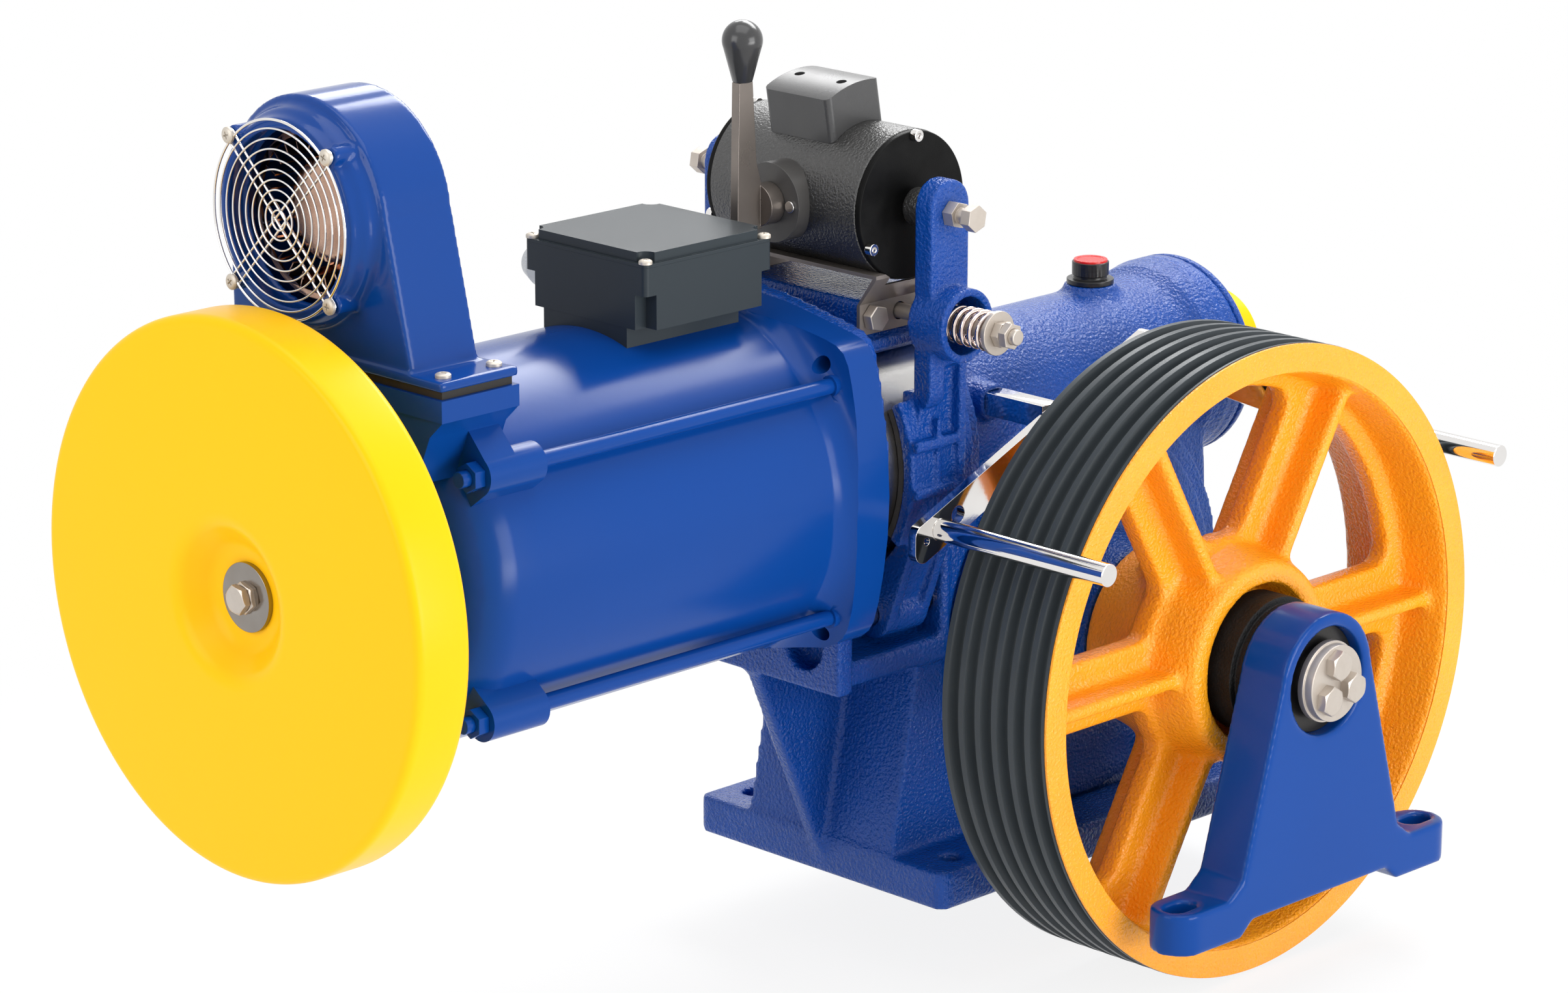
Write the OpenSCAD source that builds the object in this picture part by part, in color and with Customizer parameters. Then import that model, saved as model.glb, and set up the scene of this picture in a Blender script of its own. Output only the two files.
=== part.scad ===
// Geared elevator traction machine: worm gearbox, brake motor with flywheel and
// forced-cooling blower, magnet brake, six-groove sheave with outboard bracket.
// Origin: on the base's underside, below the crossing of the two gear axes.
// X runs along the worm and motor (flywheel at -X), Y along the output shaft
// (sheave at -Y), Z up.

/* [Gearbox] */
// Height of the output shaft above the base's underside
shaft_h = 183.5; // [182:0.5:186]
// Distance between the worm axis and the wheel axis
centre_d = 162; // [161.8:0.1:162.4]
// Length of the base along X
base_l = 429; // [420:1:450]
// Width of the base along Y
base_w = 269; // [262:1:290]
// Thickness of the base
base_t = 30; // [26:1:34]
// Foundation bolt spacing along X
base_px = 355; // [345:1:365]
// Foundation bolt spacing along Y
base_py = 216; // [210:1:222]
// Radius of a foundation bolt hole
base_hole_r = 9; // [7:0.5:11]
// Outer radius of the worm tube
tube_r = 71; // [68:0.5:74]
// Outer radius of the wheel casing
case_r = 170; // [158:1:172]
// Half width of the wheel casing
case_hw = 78; // [76:1:80]
// Axial pitch of the worm thread
worm_pitch = 16.88; // [16.6:0.01:17]

/* [Sheave] */
// Outer diameter of the sheave
sheave_od = 500; // [480:1:520]
// Width of the sheave's rim
sheave_w = 105; // [100:1:112]
// Distance from the worm axis plane to the sheave's front face
sheave_y = 270; // [266:1:276]
// Number of rope grooves
groove_n = 6; // [4:1:6]
// Pitch of the rope grooves
groove_pitch = 16.7; // [15:0.1:17]
// Radius of a groove's bottom
groove_r = 5.5; // [4:0.1:6]
// Depth of a groove
groove_depth = 9; // [6:0.5:10]
// Number of spokes
spoke_n = 6; // [5:1:8]
// Width of a spoke's web
spoke_w = 56; // [44:1:64]
// Diameter of the output shaft in the sheave
shaft_d = 80; // [70:1:84]

/* [Outboard bracket] */
// Depth of the bracket along Y
bracket_t = 44.5; // [38:0.5:46]
// Distance from the sheave's front face to the bracket's back
bracket_gap = 18.7; // [17:0.1:24]
// Radius of the bearing bore
bearing_r = 42.5; // [40:0.5:46]
// Distance between the foot slots
foot_pitch = 284; // [276:1:296]
// Thickness of a foot
foot_t = 33; // [28:1:38]

/* [Motor] */
// Outer radius of the motor's frame
motor_r = 135.8; // [132:0.1:138]
// Distance from the wheel axis to the motor flange's back
motor_x = 289; // [286:1:300]
// Length of the motor's frame, flange included
motor_l = 336; // [320:1:350]
// Thickness of the motor's flange
flange_t = 28; // [24:1:32]
// Spacing of the tie rods along Y
rod_py = 233.4; // [231:0.1:238]
// Spacing of the tie rods along Z
rod_pz = 177.6; // [175:0.1:182]
// Radius of a tie rod
rod_r = 6; // [5:0.5:6.5]
// Radius of the flywheel
fly_r = 201.5; // [190:0.5:206]
// Thickness of the flywheel
fly_t = 47.5; // [40:0.5:52]
// Room between the fan guard and the flywheel's back face
fly_gap = 25; // [22:0.5:30]

/* [Blower] */
// Radius of the volute
volute_r = 84.4; // [80:0.2:88]
// Depth of the volute along X
volute_t = 61.5; // [56:0.5:64]
// Radius of the fan guard's outer ring
guard_r = 71; // [68:0.5:73]
// Spacing of the guard's screws
guard_p = 104.3; // [102:0.1:107]
// Number of rings in the guard
guard_n = 10; // [7:1:11]

/* [Brake] */
// Distance from the wheel axis to the brake's middle plane
brake_x = 199; // [197:0.5:201]
// Radius of the brake drum
drum_r = 101; // [99:0.5:102]
// Thickness of the brake linings
lining_t = 5; // [4:0.5:5.5]
// Height of the magnet above the worm axis
magnet_h = 199.5; // [197:0.5:204]
// Radius of the magnet's body
magnet_r = 57.3; // [54:0.1:58]
// Half length of the magnet
magnet_hl = 81.5; // [80:0.5:83]
// Width of a brake arm
arm_w = 41; // [36:1:44]
// Thickness of a brake arm's upper part
arm_t = 17.3; // [14:0.1:19]
// Radius of the knob's ball
knob_r = 15.4; // [13:0.1:18]

/* [Hidden] */
$fn = 64;

// Clearances
fit = 0.05;        // a shaft in its bearing, a pin in its bore
gap = 0.3;         // between bodies that must not touch
seat = 0.02;       // between pieces bolted face to face

// Colours
blue = "#1d3f9a";
rough_blue = "#1b3c92";
orange = "#ff9a1c";
grey = "#454d52";
black = "#2a2a2b";
zinc = "#b3aaa0";
chrome = "#d8d8da";
steel = "#9a9a9c";

// Heights and places that several pieces share
wz = shaft_h + centre_d;                 // worm and motor axis
wheel_teeth = 48;
wheel_r = wheel_teeth * worm_pitch / (2 * PI);  // wheel's pitch radius
worm_r = centre_d - wheel_r;             // worm's pitch radius
tooth = 5.2;                             // tooth height above the pitch line
wheel_b = 44;                            // width of the worm wheel
casing_in_r = 139;                       // inside of the wheel casing
plate_t = 16;                            // thickness of the gearbox's motor flange
block_z = 180;                           // underside of the motor flange's block
block_hw = 95;                           // half width of that block
bridge_hw = 66;                          // half width of the bridge over the drum
bridge_z = wz + 100;                     // top of the bridge plate over the drum
bridge_t = 10;
boss_top = wz + 130;                     // top of the bosses that carry the magnet bracket
pocket_hw = 36;                          // half width of an arm's pocket
pivot_y = 62;                            // brake arm's pivot
pivot_z = 226;
pin_r = 9;
tube_end = 197;                          // +X end of the worm tube
tube_groove = 184;                       // parting groove near its end
end_t = 9;                               // worm end cover's flange
end_r = 82;
cover_r = 152;                           // wheel cover
cover_t = 12;
cover_y = case_hw + cover_t;             // outside of the wheel cover's flange
boss_y = 146;                            // end of the cover's bearing boss
boss_r = 68;
hub_back = boss_y + 4;                   // back of the sheave's hub
sheave_r = sheave_od / 2;
rim_back = sheave_y - sheave_w;
rim_in_r = sheave_r - 15;
lip_t = 2.5;                             // front lip that the rim is pressed against
shaft_r = shaft_d / 2;
journal_r = 22.5;                        // shaft in the outboard bearing
bracket_back = sheave_y + bracket_gap;
bracket_front = bracket_back + bracket_t;
end_face = bracket_front + 8.3;          // front of the shaft's end plate
joint_x = motor_x + motor_l;             // frame to end shield
shield_x = joint_x + 58;                 // outside of the end shield
shield_round = 36;                       // radius where the barrel turns into the end shield
lug_x = joint_x + 44;                    // nut seats on the end shield
motor_in_r = 118;
fillet_r = 26;                           // between the barrel and its flange
core_r = 75;                             // rotor
rotor_len = 170;
rotor_mid = (motor_x + joint_x) / 2 + 10;
spindle_r = 28;                          // motor shaft
tbox_x = 394;                            // terminal box
tbox_w = 128.5;
tbox_p = 120;                            // spacing of the lid's screws
gland_r = 8.5;
tbox_top = wz + 200.5;
lid_t = 10;
duct_l = 71;                             // duct flange
duct_w = 248;
duct_top = wz + 149.4;                   // adapter's top face
duct_back = joint_x + 10;
gasket_t = 5.5;
duct_flange_t = 7;
volute_back = duct_back + 7;
volute_y = 19;
volute_z = wz + 255.8;
volute_wall = 3;
ring_x = volute_back + volute_t;         // volute's front wall
guard_x = ring_x + 21.5;
fly_x = guard_x + fly_gap;               // flywheel's back face
fan_r = 62;
arm_out = 121.2;                         // outside of the brake arms
arm_in = arm_out - arm_t;
web_y = 111;                             // arm's web behind its ribs
shoe_hw = 34.5;                          // half width of the brake shoe
cup_z = wz + 116.5;                      // spring rod
cup_r = 28.3;
cup_y = 139.8;
cup_floor = 112;
spring_r = 13.3;
wire_r = 2.2;
washer_y = 168;
rod_d = 12;
rod_end = 190.6;
magnet_z = wz + magnet_h;
plunger_end = arm_in - 4;
boss_x = 268;                            // front of the release boss
lever_x = 297;                           // lever's middle plane
guard_y = 145;                           // rope guard plate's front face
guard_t = 8;
guard_tilt = 22.9;
guard_rod_x = 232;
guard_rod_z = shaft_h + 128.5;
guard_rod_r = 8.7;

function mod1(v) = v - floor(v);

// --- Helpers ------------------------------------------------------------
module along_x(x = 0, y = 0, z = 0) { translate([x, y, z]) rotate([0, 90, 0]) children(); }
module along_y(x = 0, y = 0, z = 0) { translate([x, y, z]) rotate([-90, 0, 0]) children(); }
// An outline drawn in X and Z, extruded from y0 to y1
module slab_y(y0, y1) {
    translate([0, y1, 0]) rotate([90, 0, 0]) linear_extrude(y1 - y0) children();
}
// An outline drawn in Y and Z, extruded from x0 to x1
module slab_x(x0, x1) {
    translate([x0, 0, 0]) rotate([90, 0, 90]) linear_extrude(x1 - x0) children();
}
// A profile of [x, r] points, turned about a line along X
module turn_x(points, y = 0, z = 0) {
    translate([0, y, z]) rotate([0, 90, 0]) rotate_extrude($fn = 96)
        polygon([for (p = points) [p[1], p[0]]]);
}
// A profile of [y, r] points, turned about a line along Y
module turn_y(points, x = 0, z = 0) {
    translate([x, 0, z]) rotate([-90, 0, 0]) rotate_extrude($fn = 96)
        polygon([for (p = points) [p[1], p[0]]]);
}
module tube_x(x0, x1, r, r_in, y = 0, z = 0) {
    turn_x([[x0, r_in], [x1, r_in], [x1, r], [x0, r]], y, z);
}
module tube_y(y0, y1, r, r_in, x = 0, z = 0) {
    turn_y([[y0, r_in], [y1, r_in], [y1, r], [y0, r]], x, z);
}
module round_rect(l, w, r) {
    square([l - 2 * r, w], center = true);
    square([l, w - 2 * r], center = true);
    for (x = [-1, 1], y = [-1, 1]) translate([x * (l / 2 - r), y * (w / 2 - r)]) circle(r);
}
// A convex outline grown by r with round corners
module round_poly(points, r) {
    polygon(points);
    for (i = [0 : len(points) - 1]) {
        a = points[i];
        b = points[(i + 1) % len(points)];
        d = b - a;
        translate(a) circle(r);
        translate(a) rotate(atan2(d[1], d[0])) translate([0, -r]) square([norm(d), 2 * r]);
    }
}
module hex_head(af, h) { cylinder(h = h, r = af / sqrt(3), $fn = 6); }
module four(px, py) { for (x = [-1, 1], y = [-1, 1]) translate([x * px / 2, y * py / 2]) children(); }

// --- Gearbox ------------------------------------------------------------
// Outline of the motor flange, drawn in Y and Z about the worm axis
half_flange = [[0, 136.5], [39, 133.5], [75, 127.5], [108, 121], [118, 118.5], [125.5, 113.5], [130.3, 105], [133.6, 93],
    [140, 65], [144.5, 34], [146.2, 4], [144.7, -28], [140.6, -57], [135.8, -80], [131, -96], [126, -104], [118, -110.5],
    [107, -115.5], [62, -123], [0, -126]];
function flange_points(dy, dz) = [for (s = [1, -1], i = [0 : len(half_flange) - 1])
    let (p = half_flange[s > 0 ? i : len(half_flange) - 1 - i])
        if (s > 0 || p[0] > 0) [s * max(0, p[0] - (p[0] > 0 ? dy : 0)), p[1] + sign(p[1]) * dz]];
module flange_outline(dy = 0, dz = 0) { polygon(flange_points(dy, dz)); }
module gearbox_outside() {
    difference() {
        linear_extrude(base_t) round_rect(base_l, base_w, 10);
    }
    slab_y(-case_hw, case_hw)
        polygon([[-base_l / 2 + 0.5, base_t - 8], [base_l / 2 - 0.5, base_t - 8],
            [base_l / 2 - 30, block_z], [-base_l / 2 + 30, block_z]]);
    tube_y(-case_hw, case_hw, case_r, 60, 0, shaft_h);
    // far bearing boss
    tube_y(case_hw - 1, case_hw + 22, 78, 20, 0, shaft_h);
    // wall between the wheel casing and the worm tube
    slab_y(-case_hw + 14, case_hw - 14)
        polygon([[-brake_x + pocket_hw, block_z], [base_l / 2 - 40, block_z], [165, wz], [-150, wz]]);
    // worm tube with its thicker end
    turn_x([[-158, 0], [-158, tube_r], [142, tube_r], [150, tube_r + 1.5], [157, tube_r + 5], [162, tube_r + 8],
        [168, tube_r + 8.6], [tube_groove - 3, end_r + 0.5], [tube_groove - 1, end_r - 2],
        [tube_groove + 1, end_r - 2], [tube_groove + 2.5, end_r], [tube_end, end_r], [tube_end, 0]], 0, wz);
    // motor flange with the block below it
    slab_x(-motor_x + seat, -motor_x + plate_t) {
        translate([0, wz]) flange_outline(14, 2);
        translate([-block_hw, block_z]) square([2 * block_hw, wz - block_z]);
    }
    // end wall of the gearbox behind the drum, and the bridge over the drum
    slab_x(-158, -140) translate([0, wz]) circle(drum_r - 1, $fn = 96);
    slab_x(-motor_x + plate_t - 1, -140)
        translate([-bridge_hw - 9, bridge_z - bridge_t]) square([2 * bridge_hw + 18, bridge_t]);
    intersection() {
        slab_x(-motor_x + plate_t - 1, -140) translate([0, wz]) circle(drum_r + 12, $fn = 96);
        translate([-motor_x, -60, wz + 70]) cube([150, 120, 60]);
    }
    slab_x(-brake_x - 42, -brake_x + 42)
        translate([-bridge_hw, wz + 86]) square([2 * bridge_hw, boss_top - wz - 86]);
    // block below the drum
    slab_x(-motor_x + plate_t - 1, -cover_r - 1)
        translate([-case_hw - 5, block_z]) square([2 * case_hw + 10, wz - 70 - block_z]);
    // gusset under the block
    slab_y(-6.5, 6.5) polygon([[-base_l / 2 + 0.2, 10], [-motor_x + 1, block_z + 1], [-180, block_z + 1], [-180, 20]]);
    // oil filler boss
    translate([96, 0, wz]) cylinder(h = 76.5, r = 21.5);
    translate([96, 0, wz + 52]) cylinder(h = 20, r1 = 42, r2 = 21.5);
    // seats of the rope guard's bars
    for (s = [-1, 1]) along_y(s * 102, -80, wz + 28.5) cylinder(h = 50, r = 15);
}
module gearbox_housing() {
    color(rough_blue) difference() {
        gearbox_outside();
        four(base_px, base_py) translate([0, 0, -1]) cylinder(h = base_t + 2, r = base_hole_r);
        // wheel cavity, open towards the cover
        along_y(0, -case_hw - 1, shaft_h) cylinder(h = case_hw + 1 + wheel_b, r = casing_in_r, $fn = 96);
        along_y(0, 0, shaft_h) cylinder(h = case_hw + 10, r = 55);
        // worm cavity and bearing seats
        along_x(-112, 0, wz) cylinder(h = 224, r = 44);
        along_x(-159, 0, wz) cylinder(h = 400, r = 40);
        along_x(111.5, 0, wz) cylinder(h = 200, r = 50);
        // room for the drum
        along_x(-motor_x - 1, 0, wz) cylinder(h = motor_x + 1 - 158, r = drum_r + 3.5, $fn = 96);
        // pockets for the arms' feet
        for (s = [-1, 1]) slab_x(-brake_x - pocket_hw - 26, -brake_x + pocket_hw)
            scale([s, 1]) {
                translate([36, pivot_z]) square([200, wz - pivot_z]);
                translate([pivot_y, pivot_z]) circle(26);
                translate([pivot_y, pivot_z - 26]) square([200, 60]);
            }
        // arm pins
        for (s = [-1, 1]) along_x(-motor_x - 1, s * pivot_y, pivot_z) cylinder(h = 140, r = pin_r);
        // spring rod
        along_y(-brake_x, -120, cup_z) cylinder(h = 240, r = rod_d / 2);
        // scallops below the motor flange
        for (s = [-1, 1]) along_x(-motor_x - 1, s * 57, wz - 131) cylinder(h = plate_t + 2, r = 19);
        // motor flange screws
        for (s = [-1, 1], t = [-1, 1]) along_x(-motor_x - 1, s * 107, wz + t * 103) cylinder(h = 40, r = 5);
        // bars of the rope guard
        for (s = [-1, 1]) translate([s * 102 - 10, -90, wz + 20]) cube([20, 30, 18]);
        // oil filler
        translate([96, 0, wz]) cylinder(h = 90, r = 15);
    }
}
module wheel_cover() {
    color(rough_blue) turn_y([[-cover_y, journal_cover_r() + 4], [-cover_y, 100], [-cover_y + 4, 128], [-cover_y + 4, cover_r],
        [-case_hw - seat, cover_r], [-case_hw - seat, casing_in_r - fit], [-case_hw + 10, casing_in_r - fit],
        [-case_hw + 10, 120], [-case_hw - 2, 110], [-case_hw - 2, 60], [-boss_y + 30, 60], [-boss_y + 30, 55],
        [-boss_y + 6, 55], [-boss_y + 6, shaft_r + 3], [-boss_y, shaft_r + 3], [-boss_y, boss_r],
        [-cover_y - 8, boss_r + 4], [-cover_y, boss_r + 14]], 0, shaft_h);
}
function journal_cover_r() = boss_r + 10;
module worm_end_cover() {
    color(rough_blue) turn_x([[tube_end + seat, end_r], [tube_end + 1, end_r], [tube_end + end_t - 3, end_r],
        [tube_end + end_t, end_r - 3], [tube_end + end_t, 0], [tube_end - 18, 0], [tube_end - 18, 50 - fit],
        [tube_end + seat, 50 - fit]], 0, wz);
}
module worm_end_disc() {
    color("#ffb81e") turn_x([[tube_end + end_t + seat, 0], [tube_end + end_t + seat, 46],
        [tube_end + end_t + 50, 46], [tube_end + end_t + 54, 42], [tube_end + end_t + 54, 0]], 0, wz);
}
module cover_bolts() {
    color(rough_blue) {
        for (a = [0 : 60 : 300]) along_x(tube_end + end_t, 67 * cos(a), wz + 67 * sin(a)) hex_head(13, 7);
        for (a = [0 : 60 : 300]) along_y((cover_r - 8) * cos(a), -cover_y + 4 - 7.5, shaft_h + (cover_r - 8) * sin(a))
            hex_head(16, 7.5);
    }
}
module oil_cap() {
    color(black) {
        translate([96, 0, wz + 76.5]) cylinder(h = 4, r = 19);
        translate([96, 0, wz + 80.5]) cylinder(h = 3, r = 13);
        translate([96, 0, wz + 83.5]) cylinder(h = 11, r = 15);
    }
}
module oil_cap_top() {
    color("#d8171c") translate([96, 0, wz + 94.5]) cylinder(h = 1.8, r = 13.8);
}

// --- Motor --------------------------------------------------------------
module motor_frame() {
    color(blue) difference() {
        union() {
            tube_x(-joint_x, -motor_x - 4, motor_r, motor_in_r, 0, wz);
            // the barrel runs out into the flange in a wide fillet
            intersection() {
                turn_x(concat([[-motor_x - flange_t - fillet_r, 116]],
                    [for (a = [0 : 10 : 90]) [-motor_x - flange_t - fillet_r * (1 - sin(a)),
                        motor_r - 0.4 + fillet_r * (1 - cos(a))]],
                    [[-motor_x - flange_t + 1, motor_r - 0.4 + fillet_r], [-motor_x - flange_t + 1, 116]]), 0, wz);
                slab_x(-motor_x - flange_t - fillet_r - 1, -motor_x) translate([0, wz]) flange_outline();
            }
            slab_x(-motor_x - flange_t, -motor_x) translate([0, wz]) flange_outline();
            for (s = [-1, 1], t = [-1, 1]) along_x(-motor_x - flange_t - 6, s * rod_py / 2, wz + t * rod_pz / 2)
                cylinder(h = 10, r = rod_r + 2);
        }
        along_x(-motor_x - flange_t - 30, 0, wz) cylinder(h = 100, r = 113, $fn = 96);
        along_x(-joint_x - 1, 0, wz) cylinder(h = motor_l - flange_t - 20, r = motor_in_r, $fn = 96);
        for (s = [-1, 1], t = [-1, 1]) {
            along_x(-motor_x - flange_t - fillet_r, s * rod_py / 2, wz + t * rod_pz / 2)
                cylinder(h = fillet_r + 20, r = rod_r);
            along_x(-motor_x - flange_t - 30, s * 107, wz + t * 103) cylinder(h = 60, r = 6.5);
        }
    }
}
module motor_end_shield() {
    color(blue) difference() {
        union() {
            turn_x(concat([[-joint_x - seat, motor_in_r - 2], [-joint_x - seat, motor_r]],
                [for (a = [0 : 15 : 75]) [-shield_x + shield_round * (1 - sin(a)), motor_r - shield_round * (1 - cos(a))]],
                [[-shield_x, motor_r - shield_round], [-shield_x, 0], [-shield_x + 12, 0],
                [-shield_x + 12, motor_r - shield_round - 4], [-joint_x - 26, motor_r - 12]]), 0, wz);
            tube_x(-shield_x - 8, -shield_x + 30, 52, 40, 0, wz);
            for (s = [-1, 1], t = [-1, 1]) slab_x(-lug_x, -joint_x + 8.5)
                translate([s * rod_py / 2, wz + t * rod_pz / 2]) {
                    circle(15);
                    rotate(atan2(t * rod_pz, s * rod_py)) translate([-28, -15]) square([28, 30]);
                }
            // inclined blocks from the upper rods' eyes to the duct
            for (s = [-1, 1]) slab_x(-lug_x, -lug_x + 28) translate([0, wz]) polygon([for (p = [[13, 7.5], [-10, 33],
                [-24, 40], [-60, 40], [-60, -10], [-8, -13]]) [s * (rod_py / 2 + p[0]), rod_pz / 2 + p[1]]]);
            // air duct down to the shield: flange, then a shank that narrows
            translate([-duct_back - duct_l, -duct_w / 2, duct_top - 15.6]) cube([duct_l, duct_w, 15.6]);
            slab_x(-duct_back - duct_l + 1, -duct_back) polygon([[-duct_w / 2, duct_top - 15], [duct_w / 2, duct_top - 15],
                [duct_w / 2 - 14, duct_top - 28], [duct_w / 2 - 30, wz + 84], [-duct_w / 2 + 30, wz + 84],
                [-duct_w / 2 + 14, duct_top - 28]]);
        }
        along_x(-joint_x, 0, wz) cylinder(h = 40, r = motor_r + seat, $fn = 96);
        along_x(-shield_x + 12, 0, wz) cylinder(h = 60, r = motor_r - 27, $fn = 96);
        along_x(-shield_x - 20, 0, wz) cylinder(h = 60, r = 40);
        for (s = [-1, 1], t = [-1, 1]) along_x(-lug_x - 1, s * rod_py / 2, wz + t * rod_pz / 2)
            cylinder(h = 60, r = rod_r + 0.5);
        // duct screws
        for (x = [13.5, duct_l - 11], s = [-1, 1])
            translate([-duct_back - duct_l + x, s * (duct_w / 2 - 13.5), duct_top - 14]) cylinder(h = 20, r = 2.5);
        // air passage
        translate([-duct_back - duct_l + 12, -80, wz + 60]) cube([duct_l - 24, 160, 150]);
    }
}
module tie_rods() {
    color(blue) for (s = [-1, 1], t = [-1, 1])
        along_x(-lug_x - 17, s * rod_py / 2, wz + t * rod_pz / 2)
            cylinder(h = lug_x + 17 - motor_x - flange_t + 20, r = rod_r);
}
module tie_rod_nuts() {
    color(blue) for (s = [-1, 1], t = [-1, 1]) along_x(-lug_x - 9.5, s * rod_py / 2, wz + t * rod_pz / 2)
        difference() {
            hex_head(19, 9.5);
            translate([0, 0, -1]) cylinder(h = 12, r = rod_r);
        }
}
module stator() {
    color("#b06a3a") turn_x([[-rotor_mid - rotor_len / 2 - 28, 84], [-rotor_mid - rotor_len / 2 - 28, 108],
        [-rotor_mid - rotor_len / 2, 110], [-rotor_mid - rotor_len / 2, motor_in_r],
        [-rotor_mid + rotor_len / 2, motor_in_r], [-rotor_mid + rotor_len / 2, 110],
        [-rotor_mid + rotor_len / 2 + 28, 108], [-rotor_mid + rotor_len / 2 + 28, 84],
        [-rotor_mid + rotor_len / 2, core_r + 1], [-rotor_mid - rotor_len / 2, core_r + 1]], 0, wz);
}
module terminal_box() {
    w = tbox_w;
    color(grey) difference() {
        union() {
            translate([-tbox_x, 0, tbox_top - lid_t - 21]) linear_extrude(21 - seat) round_rect(w, w, 4);
            translate([-tbox_x, 0, tbox_top - lid_t - 47]) linear_extrude(27) {
                square([w - 22, w], center = true);
                square([w, w - 22], center = true);
            }
            translate([-tbox_x - w / 2 + 0.2, -w / 2 + 20, wz + motor_r - 20])
                cube([tbox_x + w / 2 - motor_x - flange_t - fillet_r - 2, w - 40, tbox_top - lid_t - wz - motor_r - 26]);
            along_y(-tbox_x - 6, w / 2 - 10, tbox_top - 44) cylinder(h = 10 + 3, r = 19);
        }
        along_x(-joint_x, 0, wz) cylinder(h = motor_l, r = motor_r + seat, $fn = 96);
        translate([-tbox_x, 0, wz + motor_r + 5]) linear_extrude(100) round_rect(w - 50, w - 50, 4);
        four(tbox_p, tbox_p) translate([-tbox_x, 0, tbox_top - lid_t - 10]) cylinder(h = 20, r = 2.5);
        along_y(-tbox_x - 6, 0, tbox_top - 44) cylinder(h = 100, r = 12);
    }
}
module terminal_lid() {
    color(grey) translate([-tbox_x, 0, tbox_top - lid_t]) difference() {
        union() {
            linear_extrude(2.5) round_rect(tbox_w, tbox_w, 4);
            linear_extrude(lid_t) difference() {
                round_rect(tbox_p + 2.5, tbox_p + 2.5, 3);
                four(tbox_p, tbox_p) circle(8);
            }
        }
        four(tbox_p, tbox_p) translate([0, 0, -1]) cylinder(h = 20, r = 2.5);
        translate([0, 0, -1]) linear_extrude(7) round_rect(tbox_w - 50, tbox_w - 50, 4);
    }
}
module pan_screw(len) {
    cylinder(h = 3.4, r1 = 4.4, r2 = 3.6);
    translate([0, 0, -len]) cylinder(h = len + 0.1, r = 2.5);
}
module pan_screws() {
    color(zinc) {
        four(tbox_p, tbox_p) translate([-tbox_x, 0, tbox_top - lid_t + 2.5]) pan_screw(10);
        for (x = [13.5, duct_l - 11], s = [-1, 1])
            translate([-duct_back - duct_l + x, s * (duct_w / 2 - 13.5), duct_top + gasket_t + duct_flange_t])
                pan_screw(16);
        for (s = [-1, 1], t = [-1, 1])
            translate([-guard_x - 1.2, volute_y + s * guard_p / 2, volute_z + t * guard_p / 2])
                rotate([0, -90, 0]) pan_screw(12);
    }
}
module cable_gland() {
    color("#b9bcbf") {
        along_y(-tbox_x - 6, tbox_w / 2 + 3 + seat, tbox_top - 44) difference() {
            union() {
                hex_head(36, 12);
                translate([0, 0, -19]) cylinder(h = 20, r = 12 - seat);
                translate([0, 0, 11]) cylinder(h = 29, r = 17.4);
                translate([0, 0, 40]) cylinder(h = 12, r1 = 17.4, r2 = 12);
            }
            translate([0, 0, -20]) cylinder(h = 80, r = gland_r);
        }
    }
}

// --- Blower -------------------------------------------------------------
module duct_plate(l, w, t) {
    linear_extrude(t) difference() {
        square([l, w], center = true);
        square([duct_l - 24, 160], center = true);
    }
}
module duct_gasket() {
    color(black) translate([-duct_back - duct_l / 2, 0, duct_top + seat]) difference() {
        duct_plate(duct_l - 7, duct_w - 7, gasket_t - 2 * seat);
        for (x = [13.5, duct_l - 11], s = [-1, 1])
            translate([x - duct_l / 2, s * (duct_w / 2 - 13.5), -1]) cylinder(h = 20, r = 2.5);
    }
}
module volute_outline(inset = 0) {
    translate([volute_y, volute_z]) circle(volute_r - inset, $fn = 96);
    polygon([[volute_y - volute_r + inset, volute_z + 8], [-92 + inset, duct_top + gasket_t - 1],
        [100 - inset, duct_top + gasket_t - 1], [volute_y + volute_r - inset, volute_z + 8]]);
}
module blower_housing() {
    color(blue) difference() {
        union() {
            slab_x(-ring_x, -volute_back) intersection() {
                volute_outline();
                translate([-200, duct_top + gasket_t + seat]) square([400, 300]);
            }
            turn_x([[-ring_x + 1, fan_r + 4], [-ring_x + 1, 80], [-ring_x - 4, 77], [-ring_x - 8, 76],
                [-ring_x - 12, 72], [-ring_x - 18, 70], [-ring_x - 18, fan_r]], volute_y, volute_z);
            for (s = [-1, 1], t = [-1, 1])
                along_x(-guard_x + 1.2 + seat, volute_y + s * guard_p / 2, volute_z + t * guard_p / 2)
                    cylinder(h = guard_x - 1.2 - ring_x + 5, r = 6.5);
            translate([-duct_back - duct_l / 2, 0, duct_top + gasket_t + seat])
                duct_plate(duct_l, duct_w, duct_flange_t - seat);
        }
        difference() {
            slab_x(-ring_x + volute_wall, -volute_back - volute_wall) {
                volute_outline(volute_wall);
                translate([-80, duct_top]) square([160, 40]);
            }
            // keep the flange's own frame
            translate([-duct_back - duct_l, -duct_w / 2, duct_top - 1]) cube([duct_l, duct_w / 2 - 80, 14]);
            translate([-duct_back - duct_l, 80, duct_top - 1]) cube([duct_l, duct_w / 2 - 80, 14]);
        }
        along_x(-ring_x - 30, volute_y, volute_z) cylinder(h = 40, r = fan_r, $fn = 96);
        for (s = [-1, 1], t = [-1, 1])
            along_x(-guard_x - 1, volute_y + s * guard_p / 2, volute_z + t * guard_p / 2) cylinder(h = 14, r = 2.5);
        for (x = [13.5, duct_l - 11], s = [-1, 1])
            translate([-duct_back - duct_l + x, s * (duct_w / 2 - 13.5), duct_top]) cylinder(h = 20, r = 2.5);
    }
}
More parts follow.
